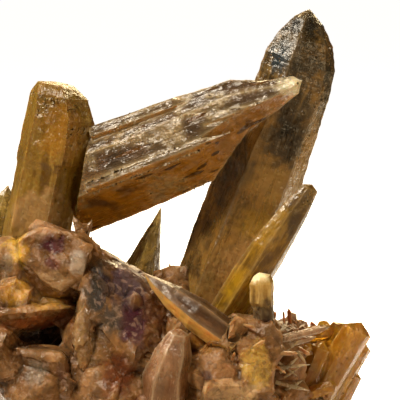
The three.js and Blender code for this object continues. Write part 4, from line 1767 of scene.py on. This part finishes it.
def pieces() -> list[Crystal]:
    """The crystals of the specimen, with their finishes and relief.

    Returns:
        The crystals, in the order in which they are built.
    """
    glassy = Relief(ridge=0.05, ridge_pitch=0.7, swell=0.05, grain=0.01, chip=0.08)
    return [
        Crystal("smoky_prism", "smoky_crystal", "smoky", SMOKY,
                Relief(ridge=0.04, step=0.03, step_pitch=0.7, swell=0.12, grain=0.02), seed=21),
        CrossedPrisms("honey_and_striated_prisms", "crossed_prisms", "honey", HONEY,
                      Relief(ridge=0.06, ridge_pitch=1.1, swell=0.14, grain=0.02), seed=31,
                      leaning_relief=Relief(ridge=0.05, ridge_pitch=0.7, swell=0.08, grain=0.012,
                                            chip=0.1, stretch=10.0),
                      leaning_finish=STRIATED),
        Crystal("spike", "spike_crystal", "pale", PALE, glassy, 0.14, seed=41),
        Crystal("dark_blade", "blade_crystal", "olive", OLIVE, glassy, 0.16, seed=51),
        Crystal("capped_stub", "stub_crystal", "cream", CREAM, glassy, 0.14, seed=61),
        Crystal("lying_ridge", "ridge_crystal", "pale", ROSY, glassy, 0.16, seed=71),
        Crystal("blunt_pyramid", "pale_pyramid", "pale", ROSE, glassy, 0.18, seed=81),
        Crystal("amber_blades", "amber_cluster", "amber", AMBER, glassy, 0.2, seed=91),
        Crystal("edge_crystal", "side_crystal", "honey", PALE, glassy, 0.16, seed=101),
        SprigGroup("sprout", "matrix", "crust", ROSE, glassy, 0.14, seed=111, sprigs=SPROUT),
        SprigGroup("long_needles", "matrix", "crust", WHITISH,
                   Relief(ridge=0.01, swell=0.02, grain=0.005, chip=0.01), 0.12, seed=121,
                   sprigs=NEEDLES),
    ]


# The long pale splinters at the right: foot, tip and radius.
NEEDLES = tuple(Sprig(foot, tip, radius, shoulder=0.7, end=0.15) for foot, tip, radius in (
    ((6.9, -10.4, 11.3), (10.5, -10.5, 11.7), 0.2),
    ((7.2, -10.2, 9.9), (10.4, -10.7, 9.2), 0.24),
    ((7.6, -10.2, 10.8), (9.3, -10.6, 12.4), 0.18),
    ((8.0, -10.0, 10.3), (9.6, -10.0, 11.4), 0.16),
    ((7.8, -9.5, 12.5), (9.5, -9.5, 13.8), 0.18),
    ((8.0, -9.2, 12.6), (9.9, -9.2, 12.6), 0.15),
    ((7.7, -9.6, 8.7), (9.9, -9.6, 10.0), 0.22),
    ((8.4, -9.2, 13.0), (9.3, -9.0, 14.3), 0.16),
    ((9.3, -9.0, 12.6), (10.2, -9.2, 11.5), 0.16),
    ((7.0, -10.4, 12.0), (8.6, -10.6, 13.3), 0.2),
    ((7.4, -10.2, 11.9), (9.4, -10.2, 10.4), 0.14),
))
# The sprout below the leaning prism, then the stumps behind the spike and the stub, and two
# splinters that reach the amber fan.
SPROUT = (
    Sprig((-11.1, -5.6, 20.2), (-11.3, -5.2, 24.4), 0.55),
    Sprig((-11.3, -5.2, 23.0), (-12.3, -5.2, 25.2), 0.4),
    Sprig((-11.3, -5.2, 22.6), (-10.5, -5.2, 24.8), 0.38),
    Sprig((-11.4, -5.4, 22.2), (-12.3, -5.6, 23.6), 0.3),
    Sprig((-11.2, -5.4, 21.4), (-10.4, -5.6, 23.4), 0.34),
    Sprig((-3.4, 0.2, 15.4), (-1.4, -1.0, 19.4), 1.3),
    Sprig((-4.4, 0.4, 14.8), (-3.4, 0.0, 19.1), 1.0),
    Sprig((-3.3, -0.4, 17.0), (-3.0, -0.6, 19.8), 0.25),
    Sprig((8.4, -2.4, 12.0), (9.3, -2.2, 15.0), 0.85, 0.7, 0.5),
    Sprig((7.2, -10.4, 14.0), (12.5, -8.0, 14.8), 0.5, 0.8, 0.1),
    Sprig((7.6, -9.8, 13.2), (11.2, -8.2, 13.9), 0.4, 0.8, 0.2),
)
# Chunks and stubby crystals grow all over the crust, and needles only at the right.
GROWTHS = (
    Growth("chunks", "rough", Mask.CRUST, 14000.0, (1.4, 1.4, 0.5), (4.2, 3.4, 1.0), 0.2, 21),
    Growth("blocks", "blocky", Mask.CRUST, 6000.0, (1.0, 1.0, 0.4), (2.6, 2.2, 1.0), 0.4, 22),
    Growth("crystals", "stub", Mask.CRUST, 6000.0, (0.8, 0.8, 0.5), (1.8, 1.6, 1.3), 0.6, 11),
    Growth("sugar", "blocky", Mask.CRUST, 30000.0, (0.15, 0.15, 0.15), (0.5, 0.4, 0.35), 0.9, 12),
    Growth("needles", "needle", Mask.FIELDS, 120000.0, (0.2, 0.16, 0.8), (0.45, 0.36, 1.8),
           0.8, 13),
)
# From the high lump at the left, down its edge, to the right along the foot of the crystals.
SLABS = (
    Slab(((-17.2, 25.8), (-14.9, 26.0), (-13.6, 25.6), (-12.3, 24.6), (-11.2, 23.8),
          (-10.1, 22.8), (-10.5, 22.1), (-11.2, 20.1), (-12.2, 19.1), (-13.2, 18.4),
          (-14.9, 19.4), (-16.7, 21.5), (-17.3, 23.5))),
    Slab(((-18.6, 24.0), (-17.2, 25.7), (-16.4, 23.3), (-16.6, 21.5), (-18.4, 21.9))),
    Slab(((-18.9, 22.7), (-17.9, 22.0), (-17.2, 20.1), (-18.4, 19.3), (-19.2, 19.4))),
    Slab(((-19.2, 19.1), (-17.4, 19.6), (-15.8, 18.6), (-16.4, 17.3), (-19.2, 17.3))),
    Slab(((-19.3, 16.4), (-17.1, 16.9), (-12.2, 17.6), (-11.3, 17.2), (-12.1, 15.8),
          (-15.4, 15.5), (-18.2, 14.3), (-19.3, 14.6))),
    Slab(((-11.3, 19.3), (-10.4, 17.8), (-8.8, 15.3), (-8.5, 14.0), (-8.0, 12.8),
          (-5.9, 12.5), (-6.9, 10.9), (-10.1, 11.1), (-12.1, 11.3), (-12.2, 14.0))),
    Slab(((-10.4, 22.9), (-9.7, 22.6), (-7.7, 20.6), (-5.9, 20.4), (-4.1, 19.1),
          (-3.2, 17.6), (-2.9, 16.2), (-2.3, 15.1), (-3.4, 13.2), (-5.7, 12.6),
          (-8.1, 12.9), (-8.9, 15.3), (-11.2, 17.8), (-11.1, 19.6), (-10.7, 21.6))),
    Slab(((-19.0, 13.3), (-16.2, 12.8), (-14.4, 12.3), (-13.2, 12.6), (-13.3, 11.7),
          (-12.8, 10.3), (-12.2, 9.5), (-12.4, 7.7), (-19.4, 7.7))),
    Slab(((-10.2, 11.3), (-7.0, 11.0), (-5.4, 12.2), (-4.7, 11.6), (-5.6, 9.7),
          (-6.9, 7.9), (-9.2, 7.8), (-10.1, 9.7))),
    Slab(((-11.8, 11.4), (-10.1, 11.1), (-9.0, 9.8), (-8.4, 7.7), (-12.4, 7.7),
          (-12.6, 9.7))),
    Slab(((-7.1, 8.0), (-5.3, 9.4), (-3.2, 9.3), (-1.7, 7.7), (-7.1, 7.5))),
    Slab(((2.0, 14.1), (4.4, 13.4), (4.2, 10.4), (3.1, 9.6), (1.1, 9.7), (1.7, 12.4)), 0.5),
    Slab(((4.2, 13.4), (5.8, 13.5), (7.0, 11.5), (7.2, 8.8), (4.4, 8.7), (4.0, 11.1)), 0.6),
    Slab(((3.0, 16.0), (5.9, 15.6), (7.2, 14.3), (6.7, 12.7), (4.4, 13.3), (2.4, 13.9)), 0.5),
    Slab(((4.9, 17.0), (7.3, 16.8), (8.3, 15.0), (7.3, 14.2), (5.8, 15.2)), 0.4),
    Slab(((0.6, 9.7), (3.8, 9.5), (6.7, 8.7), (8.4, 7.5), (0.0, 7.5)), 0.5),
    Slab(((7.7, 15.3), (10.0, 15.1), (10.7, 13.5), (9.5, 11.8), (8.0, 13.0))),
    Slab(((3.4, 15.4), (4.8, 16.2), (5.8, 15.7), (6.9, 16.2), (7.8, 14.9), (8.0, 13.3),
          (7.1, 11.4), (5.8, 9.8), (4.1, 9.5), (3.3, 11.6), (3.0, 14.0)), face=-11.9),
    Slab(((1.1, 14.7), (3.3, 15.3), (3.7, 13.6), (3.3, 11.5), (1.3, 11.9)), face=-12.0),
)


def main() -> None:
    """Builds the specimen and its studio, in order."""
    logging.basicConfig(level=logging.INFO, format="%(name)s %(message)s")
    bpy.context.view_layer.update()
    Studio().build()
    for crystal in pieces():
        crystal.build()
    Crust(
        growths=GROWTHS, slabs=SLABS, zones=ZONES,
        finish=CrustFinish("crust", "4a2e16", "805a30", "b08c60"),
        crystal_finish=CrustFinish("crust_crystals", "54361a", "8a6438", "b8966c", lift=0.1),
    ).build()


if __name__ == "__main__":
    main()
